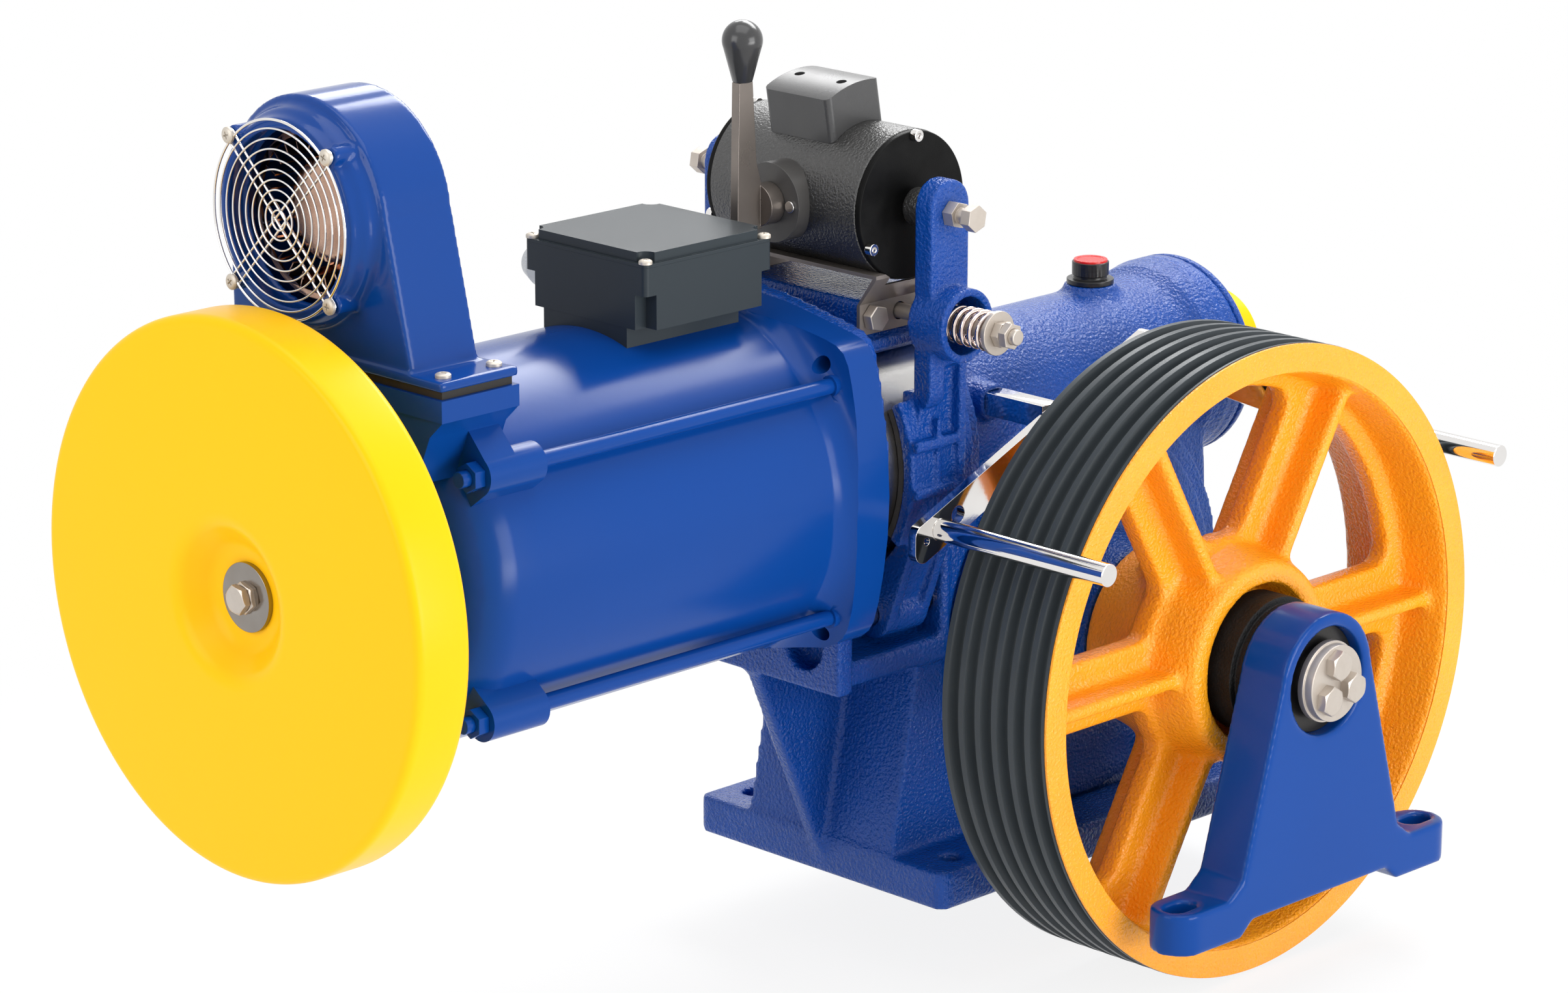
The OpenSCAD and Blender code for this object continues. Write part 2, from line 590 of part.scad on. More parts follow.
module fan_guard() {
    color(chrome) {
        for (i = [1 : guard_n]) tube_x(-guard_x - 1.2, -guard_x, guard_r * i / guard_n,
            guard_r * i / guard_n - 1.6, volute_y, volute_z);
        for (a = [45, 135], o = [-4, 4]) translate([-guard_x, volute_y, volute_z]) rotate([a, 0, 0])
            translate([0, o - 0.8, -guard_p / sqrt(2)]) cube([1.2, 1.6, guard_p * sqrt(2)]);
        for (s = [-1, 1], t = [-1, 1])
            tube_x(-guard_x - 1.2, -guard_x + 1.2, 5, 2.6, volute_y + s * guard_p / 2, volute_z + t * guard_p / 2);
    }
}
module blower_motor() {
    color(steel) turn_x([[-volute_back - volute_wall - seat, 0], [-volute_back - volute_wall - seat, 34],
        [-volute_back - 12, 34], [-volute_back - 12, 9], [-volute_back - 40, 9], [-volute_back - 40, 0]],
        volute_y, volute_z);
}
module impeller() {
    hub = volute_back + 13;
    front = ring_x - volute_wall - 3;
    color("#8a4a2a") {
        turn_x([[-hub, 9 + fit], [-hub, 58], [-hub - 2, 58], [-hub - 4, 40], [-hub - 30, 36], [-hub - 32, 30],
            [-hub - 32, 0], [-hub - 29, 0], [-hub - 29, 9 + fit]], volute_y, volute_z);
        for (a = [0 : 15 : 345]) translate([0, volute_y, volute_z]) rotate([a, 0, 0])
            translate([-front, 0, 44]) rotate([0, 0, 0]) cube([front - hub, 1.5, 13]);
        tube_x(-front, -front + 2, 60, 55, volute_y, volute_z);
    }
}

// --- Outboard bracket and sheave -----------------------------------------
module outboard_bracket() {
    color(blue) difference() {
        union() {
            slab_y(-bracket_front, -bracket_back) {
                polygon([[-94, foot_t + 12], [-110, foot_t], [-94, 11.5], [94, 11.5], [110, foot_t],
                    [94, foot_t + 12], [48.5, shaft_h + 22], [-48.5, shaft_h + 22]]);
                translate([0, shaft_h]) circle(53.2, $fn = 96);
                polygon([[-130, 0], [-94, 0], [-80.5, 11.5], [80.5, 11.5], [94, 0], [130, 0], [130, foot_t],
                    [-130, foot_t]]);
            }
            translate([0, -bracket_back - bracket_t / 2, 0]) linear_extrude(foot_t) for (s = [-1, 1]) {
                translate([s * foot_pitch / 2, 0]) circle(bracket_t / 2);
                translate([s * (foot_pitch / 4 + 47), 0]) square([foot_pitch / 2 - 94, bracket_t], center = true);
            }
        }
        along_y(0, -bracket_front - 1, shaft_h) cylinder(h = bracket_t - 6, r = bearing_r);
        along_y(0, -bracket_front - 1, shaft_h) cylinder(h = bracket_t + 2, r = 38);
        for (s = [-1, 1]) translate([s * foot_pitch / 2, -bracket_back - bracket_t / 2, -1]) linear_extrude(foot_t + 2) {
            for (t = [-1, 1]) translate([t * 6, 0]) circle(8.5);
            square([12, 17], center = true);
        }
    }
}
module sheave_wheel() {
    mid = sheave_y - sheave_w / 2;
    hub_r = 80;
    web_in = 92;
    web_out = rim_in_r - 27;
    color(orange) difference() {
        union() {
            // rim
            turn_y([[-sheave_y, rim_in_r - 9], [-sheave_y, sheave_r - 0.6], [-sheave_y + lip_t, sheave_r - 0.6],
                [-sheave_y + lip_t, rim_in_r - seat], [-rim_back, rim_in_r - seat],
                [-rim_back, rim_in_r - 9], [-mid + 14, rim_in_r - 14], [-mid - 14, rim_in_r - 14]], 0, shaft_h);
            // web, cut into spokes
            slab_y(-mid - 10, -mid + 10) translate([0, shaft_h]) difference() {
                circle(rim_in_r - 12, $fn = 96);
                offset(r = 13) offset(delta = -13) difference() {
                    circle(web_out, $fn = 96);
                    circle(web_in, $fn = 96);
                    for (i = [0 : spoke_n - 1]) rotate(i * 360 / spoke_n) {
                        translate([0, -spoke_w / 2]) square([sheave_r, spoke_w]);
                    }
                }
            }
            // ribs on both faces of each spoke
            for (i = [0 : spoke_n - 1]) translate([0, 0, shaft_h]) rotate([0, i * 360 / spoke_n, 0])
                translate([hub_r - 12, -mid - 38, -6]) cube([rim_in_r - hub_r + 2, 76, 12]);
            // hub
            turn_y([[-sheave_y + 2, 62], [-sheave_y + 2, hub_r - 4], [-sheave_y + 6, hub_r], [-mid - 14, hub_r + 6],
                [-mid + 14, hub_r + 6], [-rim_back, 76], [-hub_back, 74], [-hub_back, 50]], 0, shaft_h);
        }
        along_y(0, -sheave_y - 1, shaft_h) cylinder(h = 17, r = 62);
        along_y(0, -sheave_y - 1, shaft_h) cylinder(h = 200, r = shaft_r);
    }
}
module sheave_rim() {
    land0 = (sheave_w - (groove_n - 1) * groove_pitch) / 2;
    half = groove_pitch / 2 - 2.6;
    front = -sheave_y + lip_t + seat;
    color(grey) turn_y(concat([[front, rim_in_r], [front, sheave_r]],
        [for (i = [0 : groove_n - 1]) let (c = -sheave_y + land0 + i * groove_pitch)
            for (p = concat([[-half, 0], [-half * 0.62, -groove_depth * 0.5]],
                [for (a = [200 : 35 : 340]) [groove_r * 0.6 * cos(a), -groove_depth + groove_r * 0.6 * (1 + sin(a))]],
                [[half * 0.62, -groove_depth * 0.5], [half, 0]])) [c + p[0], sheave_r + p[1]]],
        [[-rim_back, sheave_r], [-rim_back, rim_in_r]]), 0, shaft_h);
}
module hub_spacer() {
    color(black) turn_y([[-sheave_y + 15.9, shaft_r - 12], [-sheave_y + 15.9, 55], [-bracket_back + 7, 55],
        [-bracket_back + 6, 50], [-bracket_back + gap, 50], [-bracket_back + gap, 36], [-bracket_back - 6, 36],
        [-bracket_back - 6, shaft_r - 12]], 0, shaft_h);
}
module output_shaft() {
    color(steel) turn_y([[-bracket_front + 4, 0], [-bracket_front + 4, journal_r], [-bracket_back - 6 - seat, journal_r],
        [-bracket_back - 6 - seat, shaft_r - 12 - seat], [-sheave_y + 16, shaft_r - 12 - seat],
        [-sheave_y + 16, shaft_r], [-boss_y + 6 - 2, shaft_r], [-boss_y + 8, 35], [-26, 35], [-26, 42],
        [26, 42], [26, 30], [case_hw + 10, 30], [case_hw + 10, 0]], 0, shaft_h);
}
module end_plate_bolts() {
    color(chrome) {
        turn_y([[-bracket_front + 4 - seat, 0], [-bracket_front + 4 - seat, 32], [-bracket_front - 1, 32],
            [-bracket_front - 1, 30], [-end_face, 30], [-end_face, 0]], 0, shaft_h);
        for (a = [90, 210, 330]) along_y(17 * cos(a + 10), -end_face - 8, shaft_h + 17 * sin(a + 10)) hex_head(18, 8);
    }
}

// --- Gear train ----------------------------------------------------------
// The worm: a grid of rings whose radius follows the thread
worm_l = 7 * worm_pitch;
worm_sides = 24;
worm_rings = 7 * 8;
function thread_r(x, a) =
    let (t = abs(mod1(x / worm_pitch - a / 360 + 0.25) - 0.5) * 2)
    worm_r + min(tooth - 0.2, max(-tooth - 0.8, (0.46 - t) * 30));
module worm() {
    ring = [for (i = [0 : worm_rings]) for (j = [0 : worm_sides - 1])
        let (x = -worm_l / 2 + worm_l * i / worm_rings, a = 360 * j / worm_sides,
            r = i == 0 || i == worm_rings ? worm_r - tooth - 0.8 : thread_r(x, a))
        [x, r * cos(a), wz + r * sin(a)]];
    n = worm_sides;
    side = [for (i = [0 : worm_rings - 1]) for (j = [0 : n - 1])
        let (a = i * n + j, b = i * n + (j + 1) % n) each [[a, b, b + n], [a, b + n, a + n]]];
    ends = [[for (j = [n - 1 : -1 : 0]) j], [for (j = [0 : n - 1]) worm_rings * n + j]];
    color(steel) polyhedron(concat(side, ends) == [] ? [] : ring, concat([for (f = side) [f[0], f[2], f[1]]],
        [for (f = ends) [for (k = [len(f) - 1 : -1 : 0]) f[k]]]));
}
module worm_wheel() {
    tip = wheel_r + tooth - 0.4;
    root = wheel_r - tooth - 1.2;
    p = 360 / wheel_teeth;
    color("#b8862c") difference() {
        slab_y(-wheel_b / 2, wheel_b / 2) translate([0, shaft_h]) {
            circle(root, $fn = 96);
            for (i = [0 : wheel_teeth - 1]) rotate(i * p + p / 2)
                polygon([[root - 1, -4.6], [tip, -1.5], [tip, 1.5], [root - 1, 4.6]]);
        }
        along_y(0, -wheel_b, shaft_h) cylinder(h = 2 * wheel_b, r = 42);
    }
}
module worm_shaft() {
    color(steel) {
        turn_x([[-fly_x - fly_t + 21, 0], [-fly_x - fly_t + 21, 19], [-fly_x + 4, 19], [-fly_x + 4, 26],
            [-shield_x + 32, 26], [-shield_x + 32, spindle_r], [-motor_x - 20, spindle_r], [-motor_x - 20, 25],
            [-brake_x + 46, 25], [-brake_x + 46, 22.5], [-108, 22.5], [-108, 26], [-worm_l / 2 - seat, 26],
            [-worm_l / 2 - seat, 0]], 0, wz);
        turn_x([[worm_l / 2 + seat, 0], [worm_l / 2 + seat, 26], [108, 26], [108, 22.5], [168, 22.5], [168, 0]], 0, wz);
    }
}
module rotor_core() {
    color(steel) tube_x(-rotor_mid - rotor_len / 2, -rotor_mid + rotor_len / 2, core_r, spindle_r + seat, 0, wz);
}
module worm_bearings() {
    color(chrome) {
        tube_x(-shield_x + 2, -shield_x + 26, 40, 26 + fit, 0, wz);
        tube_x(-148, -112, 40, 22.5 + fit, 0, wz);
        tube_x(112, 142, 50, 22.5 + fit, 0, wz);
    }
}
module shaft_bearings() {
    color(chrome) {
        tube_y(-boss_y + 8, -boss_y + 29, 55, 35 + fit, 0, shaft_h);
        tube_y(48, case_hw + 9, 55, 30 + fit, 0, shaft_h);
        tube_y(-bracket_front + 11, -bracket_back - 7 - seat, bearing_r, journal_r + fit, 0, shaft_h);
    }
}
module brake_drum() {
    x0 = -brake_x - 58;
    x1 = -brake_x + 38;
    color(chrome) turn_x([[x0, drum_r - 12], [x0, drum_r], [x1, drum_r], [x1, drum_r - 12],
        [-brake_x + 12, drum_r - 16], [-brake_x + 12, 44], [x1, 40], [x1, 25 + seat], [x0, 25 + seat], [x0, 40],
        [-brake_x - 12, 44], [-brake_x - 12, drum_r - 16]], 0, wz);
}
module flywheel() {
    x0 = -fly_x - fly_t;
    color("#ffc81e") turn_x(concat([[-fly_x, 19 + seat]],
        [for (a = [0 : 22.5 : 90]) [-fly_x - 5 + 5 * cos(a), fly_r - 5 + 5 * sin(a)]],
        [for (a = [90 : -15 : 0]) [x0 + 7 - 7 * cos(a), fly_r - 7 + 7 * sin(a)]],
        [[x0, 56], [x0 + 2, 50], [x0 + 6, 44], [x0 + 14, 36], [x0 + 20, 31], [x0 + 21, 27], [x0 + 21, 19 + seat]]), 0, wz);
}
module flywheel_bolt() {
    x0 = -fly_x - fly_t;
    color(chrome) {
        along_x(x0 + 17, 0, wz) cylinder(h = 4 - seat, r = 25);
        along_x(x0 + 7, 0, wz) rotate(10) hex_head(18, 10);
    }
}

// --- Brake ----------------------------------------------------------------
// Both brake arms are one shape, mirrored in the worm axis plane
shoe_in = drum_r + lining_t + gap + seat;
shoe_out = shoe_in + 10;
function foot_points(d) = [[-web_y + d / 2, wz - 20], [-web_y + d / 2, wz - 44], [-pivot_y - 18 + d, pivot_z - 8 + d / 2],
    [-pivot_y + 12, pivot_z + 14], [-shoe_in + 22, wz - 62], [-shoe_in - 1, wz - 20]];
module arm(s) {
    color(rough_blue) scale_y(s) difference() {
        union() {
            // upper part, with a rounded end
            slab_y(-arm_out, -arm_in) {
                translate([-brake_x - arm_w / 2, wz + 52]) square([arm_w, magnet_z - wz - 47]);
                translate([-brake_x, magnet_z + 5]) circle(arm_w / 2);
            }
            along_y(-brake_x, -cup_y, cup_z) cylinder(h = cup_y - arm_in, r = cup_r);
            // shoe
            intersection() {
                tube_x(-brake_x - shoe_hw, -brake_x + shoe_hw, shoe_out, shoe_in, 0, wz);
                slab_x(-brake_x - shoe_hw - 5, -brake_x + shoe_hw + 5) translate([0, wz])
                    polygon([[0, 0], [-150, 84], [-150, -84]]);
            }
            // rib along the sheave side, straight down to the foot
            slab_x(-brake_x + 12.5, -brake_x + arm_w / 2) polygon([[-arm_out, wz + 60], [-arm_out, wz - 26],
                [-arm_out + 9, wz - 44], [-shoe_in + 4, wz - 50], [-shoe_in + 1, wz], [-arm_in, wz + 60]]);
            // web behind the ribs
            translate([-brake_x - arm_w / 2, -web_y, wz - 44]) cube([arm_w, web_y - 92, 106]);
            // foot: two side plates and a thinner middle
            for (x = [-arm_w / 2 - 2, arm_w / 2 - 7.5]) slab_x(-brake_x + x, -brake_x + x + 9.5) polygon(foot_points(0));
            slab_x(-brake_x - 14, -brake_x + 14) polygon(foot_points(7));
            along_x(-brake_x - arm_w / 2 - 2, -pivot_y, pivot_z) cylinder(h = arm_w + 4, r = 20);
            // cross ribs and the thin rib between them
            for (z = [-17, 20]) translate([-brake_x - shoe_hw + 1, -arm_out, wz + z]) cube([shoe_hw + 8, 16, 8.5]);
            translate([-brake_x - 9, -arm_out + 2.5, wz - 36]) cube([4.4, 14, 78]);
        }
        // the face between the ribs, sunk and swept out to the shoe
        slab_x(-brake_x - 4, -brake_x + 12.5) polygon([[-arm_out - 1, wz + 84], [-web_y - 1.5, wz + 80],
            [-web_y, wz + 50], [-arm_out - 1, wz + 50]]);
        slab_x(-brake_x - arm_w / 2 - 1, -brake_x - 4 + 0.01) polygon([[-arm_out - 1, wz + 66], [-arm_out + 1.5, wz + 58],
            [-arm_out + 6, wz + 50], [-arm_out - 1, wz + 50]]);
        along_y(-brake_x, -cup_y - 1, cup_z) cylinder(h = cup_y + 1 - cup_floor, r = 22);
        along_y(-brake_x, -cup_y - 1, cup_z) cylinder(h = 80, r = rod_d / 2 + 2.5);
        along_y(-brake_x, -cup_y - 1, magnet_z) cylinder(h = 80, r = 6);
        along_x(-brake_x - 60, -pivot_y, pivot_z) cylinder(h = 120, r = pin_r + fit);
        // drum clearance
        along_x(-brake_x - 60, 0, wz) cylinder(h = 120, r = shoe_in, $fn = 96);
    }
}
module scale_y(s) { if (s < 0) children(); else mirror([0, 1, 0]) children(); }
module lining(s) {
    color(black) scale_y(s) intersection() {
        tube_x(-brake_x - shoe_hw + 1, -brake_x + shoe_hw - 1, drum_r + lining_t + gap, drum_r + gap, 0, wz);
        slab_x(-brake_x - 40, -brake_x + 40) translate([0, wz]) polygon([[0, 0], [-150, 81], [-150, -81]]);
    }
}
module adjuster(s) {
    color(zinc) scale_y(s) {
        along_y(-brake_x, -arm_out - 10, magnet_z) rotate(15) hex_head(18, 10 - seat);
        along_y(-brake_x, -arm_out - 27, magnet_z) rotate(40) hex_head(18, 9);
        along_y(-brake_x, -arm_out - 19, magnet_z) cylinder(h = arm_out + 19 - plunger_end - gap, r = 6);
    }
}
module plunger(s) {
    color(black) scale_y(s) {
        along_y(-brake_x, -plunger_end, magnet_z) cylinder(h = plunger_end - magnet_hl - 3.5, r = 14.5);
        along_y(-brake_x, -magnet_hl - 4, magnet_z) cylinder(h = magnet_hl - 16, r = 10);
    }
}
module brake_arm_near() arm(-1);
module brake_arm_far() arm(1);
module lining_near() lining(-1);
module lining_far() lining(1);
module adjuster_near() adjuster(-1);
module adjuster_far() adjuster(1);
module plunger_near() plunger(-1);
module plunger_far() plunger(1);
// Coil spring along Y, from y0 to y1, as one swept tube
module coil(y0, y1) {
    turns = 6.5;
    steps = 78;
    sides = 8;
    pts = [for (i = [0 : steps]) let (a = 360 * turns * i / steps, y = y0 + (y1 - y0) * i / steps)
        for (j = [0 : sides - 1]) let (b = 360 * j / sides, r = spring_r + wire_r * cos(b))
            [-brake_x + r * cos(a), y + wire_r * sin(b), cup_z + r * sin(a)]];
    polyhedron(pts, concat(
        [for (i = [0 : steps - 1]) for (j = [0 : sides - 1]) let (a = i * sides + j, b = i * sides + (j + 1) % sides)
            each [[a, b + sides, b], [a, a + sides, b + sides]]],
        [[for (j = [0 : sides - 1]) j], [for (j = [sides - 1 : -1 : 0]) steps * sides + j]]));
}
module spring_near() { color(chrome) coil(-washer_y + wire_r + 0.1, -cup_floor - wire_r - gap); }
module spring_far() { color(chrome) mirror([0, 1, 0]) coil(-washer_y + wire_r + 0.1, -cup_floor - wire_r - gap); }
module arm_pins() {
    color(steel) for (s = [-1, 1]) along_x(-motor_x + 0.5, s * pivot_y, pivot_z) cylinder(h = 135, r = pin_r);
}
module spring_rod() {
    color(steel) along_y(-brake_x, -rod_end, cup_z) cylinder(h = 2 * rod_end, r = rod_d / 2 - seat);
}
module spring_nuts() {
    color(zinc) for (s = [-1, 1]) scale_y(s) {
        tube_y(-washer_y - 3.5, -washer_y, 16.8, rod_d / 2, -brake_x, cup_z);
        for (i = [0, 1]) along_y(-brake_x, -washer_y - 3.5 - 7 * (i + 1), cup_z) rotate(20 * i) difference() {
            hex_head(18, 7 - seat);
            translate([0, 0, -1]) cylinder(h = 10, r = rod_d / 2);
        }
    }
}
module magnet_body() {
    color(black) {
        tube_y(-magnet_hl + 5, magnet_hl - 5, magnet_r, 10 + fit, -brake_x, magnet_z);
    }
}
module magnet_end_plates() {
    color(black) for (s = [-1, 1]) scale_y(s)
        turn_y([[-magnet_hl, 10 + fit], [-magnet_hl, magnet_r - 1.5], [-magnet_hl + 1, magnet_r - 0.8],
            [-magnet_hl + 5 - seat, magnet_r - 0.8], [-magnet_hl + 5 - seat, 10 + fit]], -brake_x, magnet_z);
}
module magnet_screws() {
    color(chrome) {
        for (s = [-1, 1]) scale_y(s) for (a = [89, 209, 329])
            along_y(-brake_x + (magnet_r - 3.8) * cos(a), -magnet_hl - 6, magnet_z + (magnet_r - 3.8) * sin(a)) difference() {
                cylinder(h = 6 - seat, r = 4.6);
                translate([0, 0, -1]) cylinder(h = 4, r = 2.3, $fn = 6);
            }
        for (t = [-1, 1]) along_x(-boss_x - 2, t * 22, magnet_z) cylinder(h = 2 - seat, r = 4.5);
    }
}
module magnet_cover() {
    color("#4a4a4b") difference() {
        translate([-brake_x, 0, magnet_z]) rotate([0, -10, 0]) difference() {
            translate([0, 0, 30]) linear_extrude(60) round_rect(56, 68, 5);
            // domed top
            difference() {
                translate([-50, -50, 70]) cube([100, 100, 30]);
                along_y(0, -60, 89 - 90) cylinder(h = 120, r = 90, $fn = 96);
            }
            for (t = [-1, 1]) translate([0, t * 22, 80]) cylinder(h = 20, r = 4);
        }
        along_y(-brake_x, -100, magnet_z) cylinder(h = 200, r = magnet_r + seat, $fn = 96);
    }
}
module release_boss() {
    color("#3c3d3f") difference() {
        along_x(-boss_x, 0, magnet_z) cylinder(h = 30, r = 30.5);
        along_y(-brake_x, -100, magnet_z) cylinder(h = 200, r = magnet_r + seat, $fn = 96);
        along_x(-boss_x - 1, 0, magnet_z) cylinder(h = 12, r = 12 + fit);
    }
}
module release_lever() {
    color("#5a524c") {
        along_x(-boss_x - 14, 0, magnet_z) cylinder(h = 24, r = 12);
        along_x(-boss_x - 14, 0, magnet_z) cylinder(h = 14 - gap, r = 16);
        slab_y(-4, 4) polygon([[-lever_x - 9, magnet_z - 12], [-lever_x - 4, magnet_z - 19],
            [-boss_x - 12, magnet_z - 17], [-boss_x - 10, magnet_z], [-boss_x - 12, magnet_z + 14],
            [-lever_x + 11, magnet_z + 34], [-lever_x + 7, magnet_z + 96], [-lever_x - 7, magnet_z + 96]]);
    }
}
module release_knob() {
    color("#3a3b3c") translate([-lever_x, 0, magnet_z + 96 + seat]) rotate_extrude($fn = 48)
        polygon(concat([[0, 0], [8.2, 0]],
            [for (a = [-22 : 14 : 90]) [knob_r * cos(a), 31 + knob_r * sin(a)]], [[0, 31 + knob_r]]));
}
module magnet_bracket() {
    w = 43;
    top = magnet_z - 47;
    color(zinc) difference() {
        slab_x(-brake_x - w, -brake_x + w) polygon(concat(
            [for (p = [[86, top], [86, top - 3], [bridge_hw + 3.2, top - 25], [bridge_hw + 3.2, cup_z - 13],
                [bridge_hw + seat, cup_z - 13], [bridge_hw + seat, top - 26], [82, top - 3]]) p],
            [for (p = [[-82, top - 3], [-bridge_hw - seat, top - 26], [-bridge_hw - seat, cup_z - 13],
                [-bridge_hw - 3.2, cup_z - 13], [-bridge_hw - 3.2, top - 25], [-86, top - 3], [-86, top]]) p]));
        along_y(-brake_x, -100, magnet_z) cylinder(h = 200, r = magnet_r + seat, $fn = 96);
        translate([-brake_x - 28, -magnet_hl - 6, top - 10]) cube([56, 2 * magnet_hl + 12, 30]);
        along_y(-brake_x, -100, cup_z) cylinder(h = 200, r = rod_d / 2 + 1);
    }
}
module bracket_bolts() {
    color(zinc) for (s = [-1, 1]) scale_y(s) for (t = [-1, 1])
        along_y(-brake_x + t * 30, -bridge_hw - 3.2 - 8.5, cup_z) rotate(15) hex_head(18, 8.5 - seat);
}

// --- Rope guard -----------------------------------------------------------
module rope_guard_plate() {
    half = 15.5;
    apex_z = guard_rod_z + guard_rod_x * tan(guard_tilt);
    color(chrome) difference() {
        union() {
            slab_y(-guard_y, -guard_y + guard_t) for (s = [-1, 1])
                round_poly([[0, apex_z + 6], [s * (guard_rod_x + 18), guard_rod_z - 18 * tan(guard_tilt) + 6],
                    [s * (guard_rod_x + 18), guard_rod_z - 18 * tan(guard_tilt) - 6], [0, apex_z - 6]], 9);
            // square bars back to the housing
            for (s = [-1, 1]) translate([s * 102 - 10, -guard_y + guard_t - 0.5, wz + 20])
                cube([20, guard_y - guard_t - 62, 18]);
        }
        for (s = [-1, 1]) {
            along_y(s * guard_rod_x, -guard_y - 1, guard_rod_z) cylinder(h = guard_t + 2, r = guard_rod_r - 1.5);
            along_y(s * (guard_rod_x - 19), -guard_y - 1, guard_rod_z + 19 * tan(guard_tilt)) cylinder(h = guard_t + 2, r = 7);
            along_y(s * (guard_rod_x + 15), -guard_y - 1, guard_rod_z - 15 * tan(guard_tilt)) cylinder(h = guard_t + 2, r = 3);
        }
    }
}
module rope_guard_rods() {
    color(chrome) for (s = [-1, 1]) {
        along_y(s * guard_rod_x, -313, guard_rod_z) cylinder(h = 313 - guard_y - seat, r = guard_rod_r);
        along_y(s * guard_rod_x, -guard_y - 1, guard_rod_z) cylinder(h = guard_t + 1, r = guard_rod_r - 1.5);
    }
}

gearbox_housing();
wheel_cover();
worm_end_cover();
worm_end_disc();
cover_bolts();
oil_cap();
oil_cap_top();
motor_frame();
motor_end_shield();
tie_rods();
tie_rod_nuts();
stator();
terminal_box();
terminal_lid();
pan_screws();
cable_gland();
duct_gasket();
blower_housing();
fan_guard();
blower_motor();
outboard_bracket();
magnet_body();
magnet_end_plates();
magnet_screws();
magnet_cover();
release_boss();
magnet_bracket();
bracket_bolts();
rope_guard_plate();
rope_guard_rods();
arm_pins();
spring_rod();
spring_nuts();
worm_bearings();
shaft_bearings();
brake_arm_near();
lining_near();
adjuster_near();
brake_arm_far();
lining_far();
adjuster_far();
spring_near();
spring_far();
plunger_near();
plunger_far();
release_lever();
release_knob();
worm_shaft();
worm();
rotor_core();
brake_drum();
flywheel();
flywheel_bolt();
worm_wheel();
output_shaft();
sheave_wheel();
sheave_rim();
hub_spacer();
end_plate_bolts();
impeller();
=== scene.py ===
import math

import bmesh
import bpy
import numpy as np
from mathutils import Matrix, Vector


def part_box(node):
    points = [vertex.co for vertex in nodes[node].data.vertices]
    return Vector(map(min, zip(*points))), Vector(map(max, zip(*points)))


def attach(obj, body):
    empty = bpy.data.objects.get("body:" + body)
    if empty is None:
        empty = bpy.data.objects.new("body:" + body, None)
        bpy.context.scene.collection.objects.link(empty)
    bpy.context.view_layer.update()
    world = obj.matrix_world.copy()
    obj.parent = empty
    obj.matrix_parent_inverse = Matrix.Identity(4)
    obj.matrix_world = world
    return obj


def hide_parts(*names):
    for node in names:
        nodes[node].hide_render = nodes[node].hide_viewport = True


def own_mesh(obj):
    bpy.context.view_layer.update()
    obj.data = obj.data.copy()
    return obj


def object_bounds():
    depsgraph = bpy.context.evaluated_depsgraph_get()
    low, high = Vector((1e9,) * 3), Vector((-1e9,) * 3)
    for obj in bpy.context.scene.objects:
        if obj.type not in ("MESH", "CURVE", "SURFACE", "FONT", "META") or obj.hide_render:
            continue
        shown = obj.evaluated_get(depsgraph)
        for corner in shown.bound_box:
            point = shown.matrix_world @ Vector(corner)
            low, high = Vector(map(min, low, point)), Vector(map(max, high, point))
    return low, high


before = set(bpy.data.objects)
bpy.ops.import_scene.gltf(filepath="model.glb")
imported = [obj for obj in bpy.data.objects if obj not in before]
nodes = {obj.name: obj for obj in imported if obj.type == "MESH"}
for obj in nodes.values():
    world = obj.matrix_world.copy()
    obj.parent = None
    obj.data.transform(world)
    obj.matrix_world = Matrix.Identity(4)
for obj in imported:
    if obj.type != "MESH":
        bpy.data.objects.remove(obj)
cad_low, cad_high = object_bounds()
scene = bpy.context.scene


# --- Camera -------------------------------------------------------------------
# A long lens a little above the machine, looking over the flywheel end at the
# sheave side.
lens = bpy.data.cameras.new("camera")
camera = bpy.data.objects.new("camera", lens)
scene.collection.objects.link(camera)
scene.camera = camera
lens.sensor_width = 36.0
lens.lens = 118.12
lens.clip_end = 100.0
look = Vector((0.68147596, 0.67877629, -0.27359325))
right = Vector((0.70608144, -0.70812812, 0.00188946))
up = Vector((0.19245656, 0.19446674, 0.96184363))
camera.matrix_world = Matrix.Translation((-2.93118, -2.66809, 1.38806)) @ Matrix(
    (right, up, -look)).transposed().to_4x4()


# --- Studio -------------------------------------------------------------------
# A white paper sweep under large soft boxes. The sheave hangs below the base, so
# the floor lies under the sheave. The paper keeps the machine's shadow near it and
# runs out into plain white.
scene.view_settings.view_transform = "Standard"


def white_seen(tree):
    """A shader-tree value that is 1 for what the camera, a mirror or glass sees, and 0 for
    the light that falls on the object."""
    ray = tree.nodes.new("ShaderNodeLightPath")
    value = ray.outputs["Is Camera Ray"]
    for kind in ("Is Glossy Ray", "Is Transmission Ray"):
        either = tree.nodes.new("ShaderNodeMath")
        either.operation = "MAXIMUM"
        tree.links.new(value, either.inputs[0])
        tree.links.new(ray.outputs[kind], either.inputs[1])
        value = either.outputs[0]
    return value


